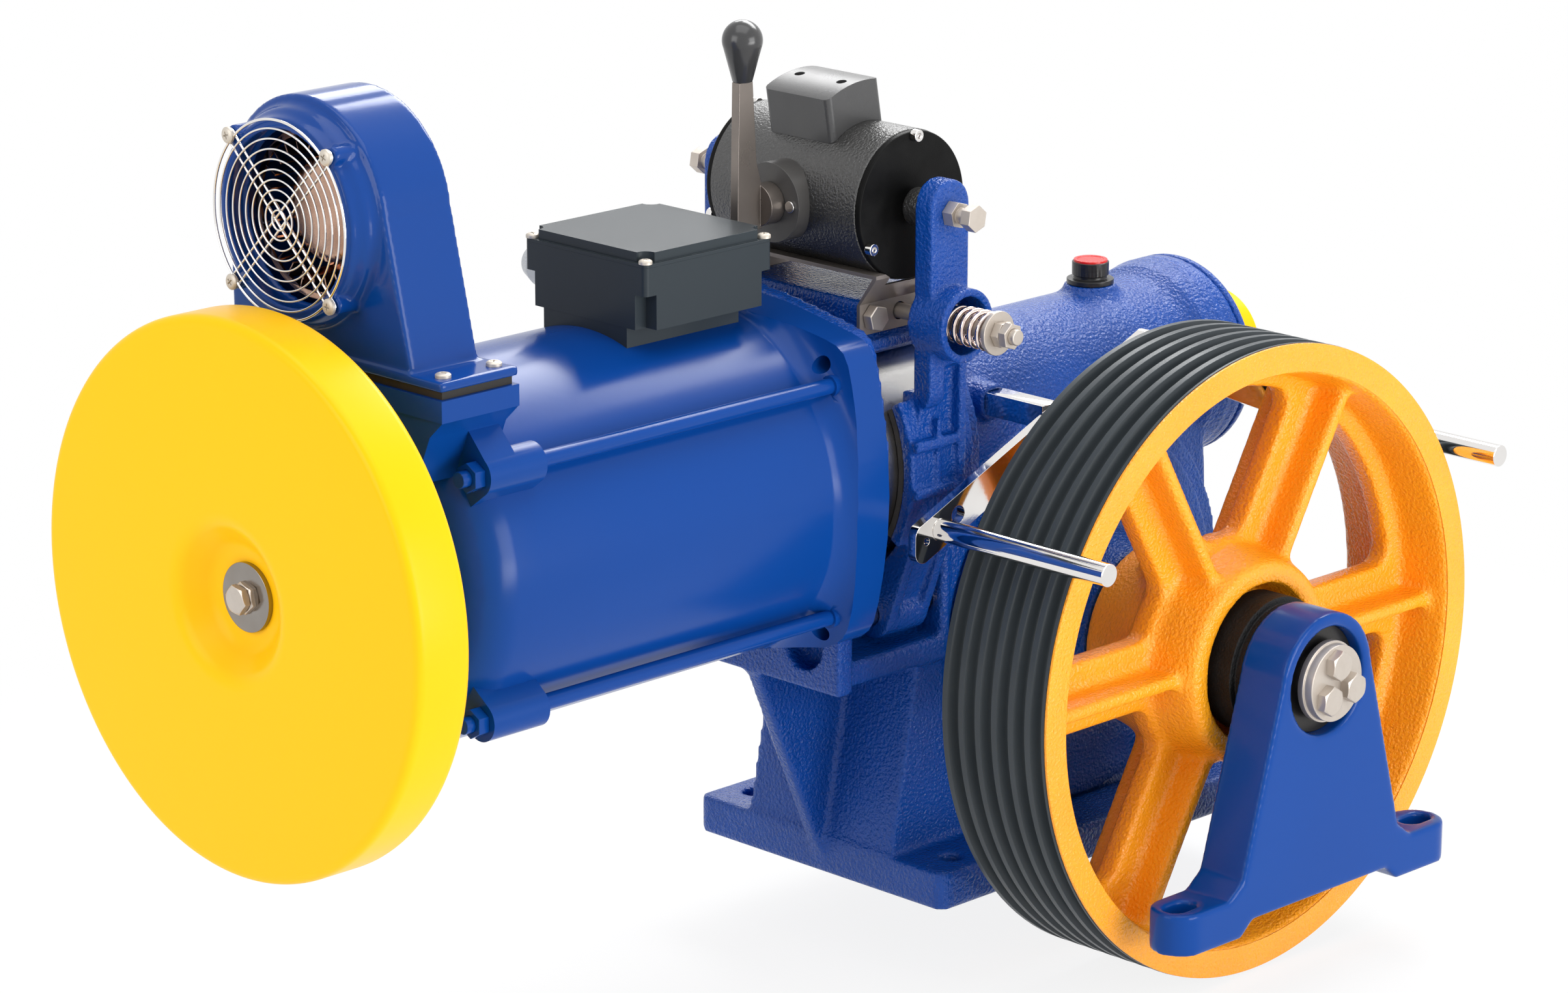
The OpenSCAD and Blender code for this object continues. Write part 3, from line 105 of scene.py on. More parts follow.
world = bpy.data.worlds.new("studio")
scene.world = world
world.use_nodes = True
air = world.node_tree
air.nodes.clear()
sky = air.nodes.new("ShaderNodeOutputWorld")
plain = air.nodes.new("ShaderNodeBackground")
plain.inputs["Color"].default_value = (1.0, 1.0, 1.0, 1.0)
plain.inputs["Strength"].default_value = 0.6
seen = air.nodes.new("ShaderNodeBackground")
seen.inputs["Color"].default_value = (1.0, 1.0, 1.0, 1.0)
seen.inputs["Strength"].default_value = 1.0
either_air = air.nodes.new("ShaderNodeMixShader")
air.links.new(white_seen(air), either_air.inputs[0])
air.links.new(plain.outputs[0], either_air.inputs[1])
air.links.new(seen.outputs[0], either_air.inputs[2])
air.links.new(either_air.outputs[0], sky.inputs["Surface"])


def soft_box(name, place, aim, width, height, watts):
    """A rectangular lamp at place, turned to face aim."""
    lamp = bpy.data.lights.new(name, "AREA")
    lamp.shape = "RECTANGLE"
    lamp.size, lamp.size_y, lamp.energy = width, height, watts
    stand = bpy.data.objects.new(name, lamp)
    scene.collection.objects.link(stand)
    stand.location = place
    stand.rotation_mode = "QUATERNION"
    stand.rotation_quaternion = (Vector(aim) - Vector(place)).to_track_quat("-Z", "Y")


middle = (-0.25, -0.1, 0.3)
soft_box("overhead", (-0.6, -0.3, 2.6), middle, 2.2, 1.8, 22)
soft_box("left_box", (-2.7, 0.1, 1.2), middle, 1.4, 1.4, 17)
soft_box("front_box", (0.3, -3.0, 0.9), middle, 1.8, 1.5, 38)
soft_box("low_box", (0.1, -2.7, 0.12), (0.1, -0.1, 0.1), 1.8, 0.7, 20)
soft_box("rear_box", (1.35, 0.45, 2.1), (-0.45, 0.0, 0.4), 1.7, 0.85, 46)
soft_box("rear_low_box", (1.1, 1.5, 1.66), (-0.15, 0.0, 0.55), 0.9, 0.6, 9)

floor_mesh = bpy.data.meshes.new("floor")
floor_z = cad_low[2] - 0.0015
floor_reach = 9
floor_mesh.from_pydata([(x * floor_reach, y * floor_reach, floor_z)
                        for x, y in ((-1, -1), (1, -1), (1, 1), (-1, 1))], [], [(0, 1, 2, 3)])
floor = bpy.data.objects.new("floor", floor_mesh)
scene.collection.objects.link(floor)
paper = bpy.data.materials.new("white_floor")
paper.use_nodes = True
sheet = paper.node_tree
shader = sheet.nodes["Principled BSDF"]
shader.inputs["Base Color"].default_value = (0.92, 0.92, 0.92, 1)
shader.inputs["Roughness"].default_value = 0.9
shader.inputs["Specular IOR Level"].default_value = 0.1
glow = sheet.nodes.new("ShaderNodeEmission")
glow.inputs["Strength"].default_value = 1.0
blend = sheet.nodes.new("ShaderNodeMixShader")
spot = sheet.nodes.new("ShaderNodeTexCoord")
away = sheet.nodes.new("ShaderNodeVectorMath")
away.operation = "LENGTH"
sheet.links.new(spot.outputs["Object"], away.inputs[0])
run_out = sheet.nodes.new("ShaderNodeMapRange")
run_out.interpolation_type = "SMOOTHSTEP"
run_out.inputs["From Min"].default_value, run_out.inputs["From Max"].default_value = 0.35, 1.1
run_out.inputs["To Min"].default_value, run_out.inputs["To Max"].default_value = 0.86, 1.0
sheet.links.new(away.outputs["Value"], run_out.inputs["Value"])
share = sheet.nodes.new("ShaderNodeMath")
share.operation = "MULTIPLY"
sheet.links.new(white_seen(sheet), share.inputs[0])
sheet.links.new(run_out.outputs["Result"], share.inputs[1])
sheet.links.new(share.outputs[0], blend.inputs[0])
sheet.links.new(shader.outputs[0], blend.inputs[1])
sheet.links.new(glow.outputs[0], blend.inputs[2])
sheet.links.new(blend.outputs[0], sheet.nodes["Material Output"].inputs["Surface"])
floor_mesh.materials.append(paper)


# --- Gearbox housing, wheel cover and worm end cover --------------------------
# Grey iron castings in blue machine enamel. The sand's grain still shows through
# the paint, every inner corner has a casting fillet, and the covers are bolted on.
def surfaced(name, colour, roughness, grain, depth, other, share,
             metallic=0.0, level=0.25, patch=0.04, wear=0.06, stretch=None):
    """A new finish with its plain sockets set, a grain of that size and depth in metres, and
    a slow drift in patches: of its colour towards the other one, up to that share, and of its
    roughness by the wear either way. stretch scales the grain along each axis."""
    material = bpy.data.materials.new(name)
    material.use_nodes = True
    t = material.node_tree
    s = t.nodes["Principled BSDF"]
    s.inputs["Base Color"].default_value = (*colour, 1)
    s.inputs["Roughness"].default_value = roughness
    s.inputs["Metallic"].default_value = metallic
    s.inputs["Specular IOR Level"].default_value = level
    where = t.nodes.new("ShaderNodeTexCoord").outputs["Object"]
    source = where
    if stretch:
        turn = t.nodes.new("ShaderNodeMapping")
        turn.inputs["Scale"].default_value = stretch
        t.links.new(where, turn.inputs["Vector"])
        source = turn.outputs["Vector"]
    fine = t.nodes.new("ShaderNodeTexNoise")
    fine.inputs["Scale"].default_value = 1.0 / grain
    fine.inputs["Detail"].default_value = 2.5
    t.links.new(source, fine.inputs["Vector"])
    bump = t.nodes.new("ShaderNodeBump")
    bump.inputs["Strength"].default_value = 1.0
    bump.inputs["Distance"].default_value = depth
    t.links.new(fine.outputs[0], bump.inputs["Height"])
    t.links.new(bump.outputs["Normal"], s.inputs["Normal"])
    slow = t.nodes.new("ShaderNodeTexNoise")
    slow.inputs["Scale"].default_value = 1.0 / patch
    slow.inputs["Detail"].default_value = 4.0
    t.links.new(where, slow.inputs["Vector"])
    rough = t.nodes.new("ShaderNodeMapRange")
    rough.inputs["From Min"].default_value, rough.inputs["From Max"].default_value = 0.3, 0.7
    rough.inputs["To Min"].default_value = roughness - wear
    rough.inputs["To Max"].default_value = roughness + wear
    t.links.new(slow.outputs[0], rough.inputs["Value"])
    t.links.new(rough.outputs["Result"], s.inputs["Roughness"])
    tone = t.nodes.new("ShaderNodeMix")
    tone.data_type = "RGBA"
    tone.inputs["A"].default_value = (*colour, 1)
    tone.inputs["B"].default_value = (*other, 1)
    amount = t.nodes.new("ShaderNodeMapRange")
    amount.inputs["From Min"].default_value, amount.inputs["From Max"].default_value = 0.35, 0.75
    amount.inputs["To Max"].default_value = share
    t.links.new(slow.outputs[0], amount.inputs["Value"])
    t.links.new(amount.outputs["Result"], tone.inputs["Factor"])
    t.links.new(tone.outputs["Result"], s.inputs["Base Color"])
    return material


def made(name, mesh, body, material, stands_for):
    """Links a mesh as a piece of the machine, with its body, finish and the solids that it
    stands for."""
    thing = bpy.data.objects.new(name, mesh)
    scene.collection.objects.link(thing)
    mesh.materials.clear()
    mesh.materials.append(material)
    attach(thing, body)
    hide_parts(*stands_for)
    return thing


def joined_copy(node, flat=0.0):
    """A copy of a solid's mesh with its doubled corners joined, and flat faces made whole
    up to an angle."""
    mesh = nodes[node].data.copy()
    work = bmesh.new()
    work.from_mesh(mesh)
    bmesh.ops.remove_doubles(work, verts=work.verts, dist=2e-6)
    if flat:
        bmesh.ops.dissolve_limit(work, angle_limit=flat, verts=work.verts, edges=work.edges)
    work.to_mesh(mesh)
    work.free()
    return mesh


def casting(node, body, material, cell, passes, keep):
    """The solid as sand casting leaves it: cut into cells of that size, then relaxed in so
    many passes until each corner is a fillet, and thinned to that share of its faces."""
    thing = made(node + "_casting", joined_copy(node), body, material, [node])
    cells = thing.modifiers.new("cells", "REMESH")
    cells.mode, cells.voxel_size, cells.use_smooth_shade = "VOXEL", cell, True
    relax = thing.modifiers.new("fillets", "SMOOTH")
    relax.factor, relax.iterations = 0.5, passes
    thin = thing.modifiers.new("fewer", "DECIMATE")
    thin.ratio = keep


cast_blue = surfaced(
    "cast_blue_enamel", (0.003, 0.062, 0.34), roughness=0.16, level=0.3,
    grain=0.0027, depth=0.0019, other=(0.003, 0.05, 0.28), share=0.6)
casting("gearbox_housing", "machine", cast_blue, cell=0.0026, passes=3, keep=0.42)
casting("wheel_cover", "machine", cast_blue, cell=0.0026, passes=5, keep=0.8)
casting("worm_end_cover", "machine", cast_blue, cell=0.002, passes=3, keep=0.8)


# --- Cover bolts --------------------------------------------------------------
# Hexagon screws that hold the two covers, painted over with the castings.
def dressed(node, body, material, edge, segments=2, sharp=34):
    """The solid with every edge sharper than that angle rounded to that width, as machining
    and paint leave it."""
    thing = made(node + "_form", joined_copy(node, math.radians(0.6)), body, material, [node])
    thing.data.polygons.foreach_set("use_smooth", np.ones(len(thing.data.polygons), bool))
    rounding = thing.modifiers.new("edges", "BEVEL")
    rounding.width, rounding.segments = edge, segments
    rounding.limit_method, rounding.angle_limit = "ANGLE", math.radians(sharp)
    rounding.use_clamp_overlap = True
    rounding.harden_normals = True
    rounding.miter_outer = "MITER_ARC"
    normals = thing.modifiers.new("normals", "WEIGHTED_NORMAL")
    normals.keep_sharp = False


bolt_blue = surfaced(
    "bolt_blue_enamel", (0.003, 0.05, 0.265), roughness=0.28, level=0.25,
    grain=0.003, depth=0.0001, other=(0.002, 0.038, 0.21), share=0.4)
dressed("cover_bolts", "machine", bolt_blue, edge=0.0007)


# --- Worm end disc ------------------------------------------------------------
# The turned end of the worm shaft's guard, in the same yellow as the flywheel.
flywheel_yellow = surfaced(
    "flywheel_yellow", (1.0, 0.55, 0.004), roughness=0.3, level=0.12,
    grain=0.004, depth=0.00004, other=(1.0, 0.54, 0.007), share=0.4, patch=0.3, wear=0.03)
dressed("worm_end_disc", "machine", flywheel_yellow, edge=0.001)


# --- Oil cap ------------------------------------------------------------------
# A moulded breather cap on the oil filler: a black plug with a ribbed grip and a
# plain red lid pressed into its top.
def closed_skin(points, loop_rows=False):
    """Corners and faces of a grid of points that closes round its columns. The first and
    last rows are closed with a face each, unless the rows loop too. The faces are turned
    outwards by the sign of the volume that they enclose."""
    rows, columns = points.shape[:2]
    flat = points.reshape(-1, 3)
    row = np.arange(rows if loop_rows else rows - 1)[:, None] * columns
    column = np.arange(columns)[None, :]
    next_row, next_column = (row + columns) % (rows * columns), (column + 1) % columns
    faces = np.stack([row + column, next_row + column, next_row + next_column,
                      row + next_column], -1).reshape(-1, 4)
    a, b, c, d = (flat[faces[:, k]] for k in range(4))
    volume = np.sum(a * np.cross(b, c)) + np.sum(a * np.cross(c, d))
    ends = []
    if not loop_rows:
        ends = [np.arange(columns)[::-1], np.arange(columns) + (rows - 1) * columns]
        for end in ends:
            p = flat[end]
            volume += np.sum(p[0] * np.cross(p[1:-1], p[2:]))
        ends = [end.tolist() for end in ends]
    faces = faces.tolist() + ends
    if volume < 0:
        faces = [f[::-1] for f in faces]
    return flat, faces


def skinned(name, skins, sharp, body, material, stands_for):
    """A piece made of closed skins, smooth except across edges sharper than that angle."""
    mesh = bpy.data.meshes.new(name)
    start = np.cumsum([0] + [len(p) for p, f in skins])
    corners = np.concatenate([p for p, f in skins])
    faces = [[i + first for i in face] for first, (p, f) in zip(start, skins) for face in f]
    mesh.from_pydata(corners.tolist(), [], faces)
    mesh.polygons.foreach_set("use_smooth", np.ones(len(mesh.polygons), bool))
    mesh.update()
    mesh.set_sharp_from_angle(angle=math.radians(sharp))
    return made(name, mesh, body, material, [stands_for])


def across(axis):
    """Two directions square to an axis and to each other, so that the three are
    right-handed."""
    axis = np.array(axis, float)
    first = np.cross(axis, (0.0, 1.0, 0.0) if abs(axis[1]) < 0.9 else (1.0, 0.0, 0.0))
    first /= np.linalg.norm(first)
    return first, np.cross(axis, first)


def round_axis(centre, axis, h, radius, angle):
    """A grid of points, each at distance h along the axis and at its radius and angle
    round it."""
    first, second = across(axis)
    return (np.array(centre, float) + h[..., None] * np.array(axis, float)
            + (radius * np.cos(angle))[..., None] * first
            + (radius * np.sin(angle))[..., None] * second)


def turned(centre, axis, profile, around=96, swell=None, bored=False):
    """A turned skin: a profile of (distance along the axis, radius) carried round the axis.
    swell(angle, distance) may multiply the radius, for a grip. The profile of a bored one
    joins its own start."""
    h, radius = np.array(profile, float).T[..., None]
    angle = np.linspace(0, 2 * np.pi, around, endpoint=False)[None, :]
    if swell:
        radius = radius * swell(angle, h)
    return closed_skin(round_axis(centre, axis, h, radius, angle), bored)


def eased(profile, radius, steps=5):
    """A profile with each inner corner replaced by a curve: the quadratic through the two
    points that far before and after the corner, drawn towards it."""
    p = np.array(profile, float)
    out = [p[0]]
    share = np.linspace(0, 1, steps)[:, None]
    for k in range(1, len(p) - 1):
        back, on = p[k - 1] - p[k], p[k + 1] - p[k]
        reach = min(radius, 0.45 * np.linalg.norm(back), 0.45 * np.linalg.norm(on))
        a = p[k] + back / np.linalg.norm(back) * reach
        b = p[k] + on / np.linalg.norm(on) * reach
        out.extend((1 - share) ** 2 * a + 2 * share * (1 - share) * p[k] + share ** 2 * b)
    out.append(p[-1])
    return np.array(out)


def middle_of(low, high):
    """The middle of a solid's box."""
    return tuple((a + b) / 2 for a, b in zip(low, high))


cap_box, cap_lid_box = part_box("oil_cap"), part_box("oil_cap_top")
cap_x = middle_of(*cap_box)[0]
cap_black = surfaced(
    "cap_black", (0.017, 0.017, 0.018), roughness=0.3, level=0.35,
    grain=0.002, depth=0.00003, other=(0.028, 0.028, 0.028), share=0.5)
cap_red = surfaced(
    "cap_red", (0.72, 0.016, 0.014), roughness=0.28, level=0.35,
    grain=0.003, depth=0.00002, other=(0.6, 0.012, 0.01), share=0.5)


def grip(angle, h):
    """Thirty rounded ribs on the cap's upper part: the radius is less by a twentieth of
    ((1 - cos(30 angle)) / 2) squared, and the ribs fade out at both ends."""
    low, high, fade, ribs, sink = 0.0075, 0.0172, 0.0005, 30, 0.05
    on = np.clip((h - low) / fade, 0, 1) * np.clip((high - h) / fade, 0, 1)
    return 1 - sink * on * (0.5 - 0.5 * np.cos(ribs * angle)) ** 2


cap_profile = [(0, 0.018), (0.0002, 0.019), (0.004, 0.019), (0.0042, 0.0135),
               (0.0068, 0.0132), (0.007, 0.0148), (0.0176, 0.0149), (0.018, 0.0143)]
cap_lid_profile = [(0, 0.0137), (0.0017, 0.0136), (0.0017, 0.0108), (0.0011, 0.0104),
                   (0.0011, 0.001)]
skinned("oil_cap_ribbed",
        [turned((cap_x, 0, cap_box[0][2]), (0, 0, 1), eased(cap_profile, 0.0006), 240, grip)],
        40, "machine", cap_black, "oil_cap")
skinned("oil_cap_lid",
        [turned((cap_x, 0, cap_lid_box[0][2]), (0, 0, 1), eased(cap_lid_profile, 0.0005))],
        40, "machine", cap_red, "oil_cap_top")


# --- Motor frame and end shield -----------------------------------------------
# The motor's barrel runs out into its flange in a wide fillet; the end shield at
# the flywheel end is bolted to it. Both are smooth castings under glossy blue enamel.
smooth_blue = surfaced(
    "smooth_blue_enamel", (0.002, 0.050, 0.265), roughness=0.2, level=0.19,
    grain=0.006, depth=0.00003, other=(0.003, 0.044, 0.24), share=0.5, patch=0.2, wear=0.03)
dressed("motor_frame", "machine", smooth_blue, edge=0.002, segments=3)
dressed("motor_end_shield", "machine", smooth_blue, edge=0.0025, segments=3)


# --- Tie rods and their nuts --------------------------------------------------
# Four long steel studs clamp the end shield to the flange. They were sprayed blue
# with the motor.
dressed("tie_rods", "machine", smooth_blue, edge=0.0008)
dressed("tie_rod_nuts", "machine", smooth_blue, edge=0.0008)


# --- Motor windings -----------------------------------------------------------
# The wound stator inside the barrel: varnished copper over stamped iron.
winding = surfaced(
    "varnished_copper", (0.42, 0.15, 0.06), roughness=0.35, metallic=0.9,
    grain=0.0015, depth=0.0003, other=(0.2, 0.06, 0.02), share=0.6, stretch=(0.2, 1, 1))
dressed("stator", "machine", winding, edge=0.002)


# --- Terminal box and lid -----------------------------------------------------
# A die-cast box under dark grey enamel, saddled on the barrel, with a lid held
# by four screws in notched corners.
box_grey = surfaced(
    "box_grey_enamel", (0.034, 0.043, 0.050), roughness=0.24, level=0.14,
    grain=0.0018, depth=0.00003, other=(0.032, 0.041, 0.048), share=0.5, patch=0.05, wear=0.03)
dressed("terminal_box", "machine", box_grey, edge=0.0016, segments=3)
dressed("terminal_lid", "machine", box_grey, edge=0.0014, segments=3)


# --- Cable gland --------------------------------------------------------------
# A plated gland for the supply cable, with a hexagon body and a domed cap nut.
gland_plate = surfaced(
    "gland_plate", (0.46, 0.48, 0.50), roughness=0.32, metallic=0.35,
    grain=0.003, depth=0.00003, other=(0.40, 0.42, 0.44), share=0.5)
dressed("cable_gland", "machine", gland_plate, edge=0.0012, segments=3)


# --- Pan head screws ----------------------------------------------------------
# Zinc-plated machine screws with a cross recess, on the terminal lid, the duct's
# flange and the fan guard.
zinc = surfaced(
    "zinc_plate", (0.56, 0.505, 0.45), roughness=0.42, metallic=0.8,
    grain=0.0015, depth=0.00003, other=(0.46, 0.41, 0.36), share=0.6, patch=0.012)


def pan_head(centre, axis, reach, tilt, rim):
    """A pan head and its shank. Over its top the height is the side's plus the crown times
    1 - (r / rim)^5, less a cross: two crossed slots that end 2.7 mm from the middle."""
    side, crown, shank_r, around = 0.0020, 0.0014, 0.0025, 64
    slot_half, slot_reach, slot_deep = 0.0005, 0.0027, 0.0014
    angle = np.linspace(0, 2 * np.pi, around, endpoint=False)[None, :]
    r = np.linspace(rim, 0.00015, 14)[:, None]
    x, y = r * np.cos(angle + tilt), r * np.sin(angle + tilt)
    off = np.minimum(np.abs(x), np.abs(y))
    cross = np.clip((slot_half - off) / 0.00015, 0, 1) * np.clip((slot_reach - r) / 0.0003, 0, 1)
    top = side + crown * (1 - (r / rim) ** 5) - slot_deep * cross
    below = np.array([(-reach, shank_r - 0.0002), (-reach, shank_r), (0.0, shank_r), (0.0, rim),
                      (side, rim)])
    h = np.concatenate([np.repeat(below[:, :1], around, 1), top[1:]])
    radius = np.concatenate([np.repeat(below[:, 1:], around, 1), np.repeat(r[1:], around, 1)])
    return closed_skin(round_axis(centre, axis, h, radius, angle))


lid_box, guard_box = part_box("terminal_lid"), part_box("fan_guard")
lid_x, lid_y, _ = middle_of(*lid_box)
_, guard_y, guard_z = middle_of(*guard_box)
lid_screw_off = 0.06
duct_screw_x, duct_screw_y, duct_screw_z = (-0.6925, -0.646), 0.1105, 0.5074
guard_screw_off = 0.05215
heads = [((lid_x + sx * lid_screw_off, lid_y + sy * lid_screw_off, lid_box[0][2] + 0.0025),
          (0, 0, 1), 0.010, 0.0050) for sx in (-1, 1) for sy in (-1, 1)]
heads += [((x, sy * duct_screw_y, duct_screw_z), (0, 0, 1), 0.016, 0.0056)
          for x in duct_screw_x for sy in (-1, 1)]
heads += [((guard_box[0][0], guard_y + sy * guard_screw_off, guard_z + sz * guard_screw_off),
           (-1, 0, 0), 0.012, 0.0058) for sy in (-1, 1) for sz in (-1, 1)]
screw_zinc = surfaced(
    "screw_zinc", (0.60, 0.55, 0.48), roughness=0.48, metallic=0.6,
    grain=0.0012, depth=0.00003, other=(0.5, 0.45, 0.39), share=0.6, patch=0.01)
skinned("pan_screw_set",
        [pan_head(centre, axis, reach, tilt=0.4 * k, rim=rim)
         for k, (centre, axis, reach, rim) in enumerate(heads)],
        40, "machine", screw_zinc, "pan_screws")


# --- Blower housing -----------------------------------------------------------
# An aluminium volute that forces cooling air into the motor, cast with a raised
# collar round its inlet, and enamelled with the motor. A rubber gasket seats it.
blower_blue = surfaced(
    "blower_blue_enamel", (0.002, 0.048, 0.255), roughness=0.13, level=0.26,
    grain=0.008, depth=0.00003, other=(0.003, 0.044, 0.24), share=0.4, patch=0.2, wear=0.02)
casting("blower_housing", "machine", blower_blue, cell=0.0017, passes=5, keep=0.4)
gasket = surfaced(
    "gasket_rubber", (0.03, 0.028, 0.026), roughness=0.7,
    grain=0.001, depth=0.0001, other=(0.045, 0.042, 0.038), share=0.6)
dressed("duct_gasket", "machine", gasket, edge=0.0006)


# --- Blower motor and impeller ------------------------------------------------
# The small motor on the volute's back, and the drum wheel of thin blades that
# it turns behind the guard.
blower_steel = surfaced(
    "blower_steel", (0.55, 0.53, 0.51), roughness=0.28, metallic=1.0,
    grain=0.002, depth=0.00003, other=(0.4, 0.38, 0.36), share=0.5)
dressed("blower_motor", "machine", blower_steel, edge=0.001)
wheel_copper = surfaced(
    "impeller_copper", (0.62, 0.42, 0.32), roughness=0.2, metallic=1.0,
    grain=0.004, depth=0.00005, other=(0.42, 0.2, 0.11), share=0.6, patch=0.03)
dressed("impeller", "blower_wheel", wheel_copper, edge=0.0003, segments=1)


# --- Fan guard ----------------------------------------------------------------
# A chromed finger guard: ten round wires welded on two looped wires that cross in
# the middle and hook round the four screws.
chrome = surfaced(
    "bright_chrome", (0.82, 0.80, 0.78), roughness=0.07, metallic=1.0,
    grain=0.003, depth=0.00001, other=(0.7, 0.68, 0.66), share=0.4, wear=0.02)


def ring_wire(centre, axis, radius, thick, around, sides=12):
    """A round wire bent to a circle: a circle of radius thick carried round the axis at
    that radius."""
    b = np.linspace(0, 2 * np.pi, sides, endpoint=False)
    section = np.stack([thick * np.sin(b), radius + thick * np.cos(b)], -1)
    return turned(centre, axis, section, around, bored=True)


def looped_wire(centre, axis, angle, half, radius, thick, sides=12):
    """A round wire bent to a long loop: two straights of length 2 half, joined by half
    circles of that radius. The wire's section is turned square to the loop's path."""
    first, second = across(axis)
    along = np.cos(angle) * first + np.sin(angle) * second
    side = np.cross(axis, along)
    turn = np.linspace(-np.pi / 2, np.pi / 2, 17)
    straight = np.linspace(-1, 1, 9)[1:-1]
    none, one = np.zeros(straight.size), np.ones(straight.size)
    u = np.concatenate([half + radius * np.cos(turn), -half * straight,
                        -half - radius * np.cos(turn), half * straight])
    v = np.concatenate([radius * np.sin(turn), radius * one, -radius * np.sin(turn), -radius * one])
    out_u = np.concatenate([np.cos(turn), none, -np.cos(turn), none])
    out_v = np.concatenate([np.sin(turn), one, -np.sin(turn), -one])
    b = np.linspace(0, 2 * np.pi, sides, endpoint=False)[None, :, None]
    path = (u[:, None] * along + v[:, None] * side)[:, None, :]
    outward = (out_u[:, None] * along + out_v[:, None] * side)[:, None, :]
    points = np.array(centre, float) + path + thick * (np.cos(b) * outward
                                                       + np.sin(b) * np.array(axis, float))
    return closed_skin(points, True)


loops_at = (guard_box[0][0] + 0.0012, guard_y, guard_z)
rings_at = (guard_box[0][0] - 0.0005, guard_y, guard_z)
ring_step, ring_thick, outer_thick = 0.0071, 0.00072, 0.0010
wires = [looped_wire(loops_at, (-1, 0, 0), math.radians(a), half=0.07375, radius=0.0040,
                     thick=0.0010) for a in (45, 135)]
wires += [ring_wire(rings_at, (-1, 0, 0), ring_step * k, ring_thick, around=48 + 12 * k)
          for k in range(1, 10)]
wires += [ring_wire(rings_at, (-1, 0, 0), ring_step * 10 - 0.0008, outer_thick, around=168)]
skinned("fan_guard_wires", wires, 60, "machine", chrome, "fan_guard")


# --- Flywheel -----------------------------------------------------------------
# A solid cast-iron disc on the motor's shaft end, turned all over with a soft dish
# round its hub, and sprayed signal yellow.
wheel_low, wheel_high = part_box("flywheel")
wheel_z = (wheel_low[2] + wheel_high[2]) / 2
wheel_r = (wheel_high[2] - wheel_low[2]) / 2
wheel_t = wheel_high[0] - wheel_low[0]
hub_r, back_r, face_r = 0.0195, 0.024, 0.074
dish_r, dish_floor_r, dish_deep = 0.0565, 0.0360, 0.0205
rim_part = eased([(0.002, hub_r), (0, back_r), (0, wheel_r), (wheel_t, wheel_r),
                  (wheel_t, face_r + 0.001)], 0.0075, 9)
dish_part = eased([(wheel_t, face_r), (wheel_t, dish_r), (wheel_t - dish_deep, dish_floor_r),
                   (wheel_t - dish_deep - 0.0007, hub_r)], 0.014, 13)
skinned("flywheel_disc",
        [turned((wheel_high[0], 0, wheel_z), (-1, 0, 0), np.concatenate([rim_part, dish_part]), 192,
                bored=True)],
        50, "rotor", flywheel_yellow, "flywheel")


# --- Flywheel bolt ------------------------------------------------------------
# A plated bolt and its collar hold the flywheel through a polished washer.
def hexagon(centre, axis, flats, low, high, turn=0.0, top=0.95):
    """A hexagon head: at each angle the radius is the hexagon's, but no more than the
    chamfer cone's, which falls from the corners to that share of the flats at the top."""
    angle = np.linspace(0, 2 * np.pi, 96, endpoint=False)[None, :]
    chamfer, slope = 0.075 * flats, 1.9
    steps = np.array([0.0, 0.12, 0.25, 0.4, 0.6, 0.8, 1.0, 1.3])[:, None]
    h = np.concatenate([[[low]], high - chamfer * steps[::-1]])
    six = flats / 2 / np.cos(np.mod(angle, np.pi / 3) - np.pi / 6)
    cone = top * flats / 2 + slope * (high - h)
    return closed_skin(round_axis(centre, axis, h + 0 * angle, np.minimum(six, cone), angle + turn))


washer_steel = surfaced(
    "washer_steel", (0.30, 0.275, 0.25), roughness=0.2, metallic=1.0,
    grain=0.002, depth=0.00002, other=(0.24, 0.215, 0.19), share=0.5, patch=0.02)
bolt_low, bolt_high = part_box("flywheel_bolt")
bolt_base = (bolt_high[0], 0, wheel_z)
washer_r, washer_t = 0.025, 0.004
washer_profile = [(0, washer_r - 0.0003), (0, washer_r), (washer_t, washer_r), (washer_t, 0.008)]
skinned("flywheel_washer", [turned(bolt_base, (-1, 0, 0), eased(washer_profile, 0.0005))],
        28, "rotor", washer_steel, "flywheel_bolt")
collar_top, head_base, neck_r = 0.0076, 0.0088, 0.0085
skinned("flywheel_bolt_set",
        [hexagon(bolt_base, (-1, 0, 0), flats=0.0205, low=0.0036, high=collar_top, turn=0.2),
         turned(bolt_base, (-1, 0, 0),
                [(collar_top - 0.0002, neck_r), (head_base + 0.0004, neck_r)]),
         hexagon(bolt_base, (-1, 0, 0), flats=0.0190, low=head_base,
                 high=bolt_high[0] - bolt_low[0], turn=0.35)],
        28, "rotor", zinc, "flywheel_bolt")


# --- Rotor and brake drum -----------------------------------------------------
# The laminated rotor, the worm on its shaft between two bearings, and the turned
# drum that couples them and that the brake shoes grip.
turned_steel = surfaced(
    "turned_steel", (0.58, 0.57, 0.56), roughness=0.24, metallic=1.0,
    grain=0.0008, depth=0.00002, other=(0.46, 0.45, 0.44), share=0.5, stretch=(6, 0.4, 0.4))
dressed("rotor_core", "rotor", turned_steel, edge=0.001)
dressed("brake_drum", "rotor", turned_steel, edge=0.001)
dressed("worm_shaft", "rotor", turned_steel, edge=0.0005)
dressed("worm", "rotor", turned_steel, edge=0.0003, segments=1)
dressed("worm_bearings", "machine", turned_steel, edge=0.0006)
bearing_dark = surfaced(
    "bearing_dark", (0.05, 0.048, 0.046), roughness=0.3, metallic=0.7,
    grain=0.001, depth=0.00003, other=(0.03, 0.029, 0.028), share=0.5)
dressed("shaft_bearings", "machine", bearing_dark, edge=0.0008)


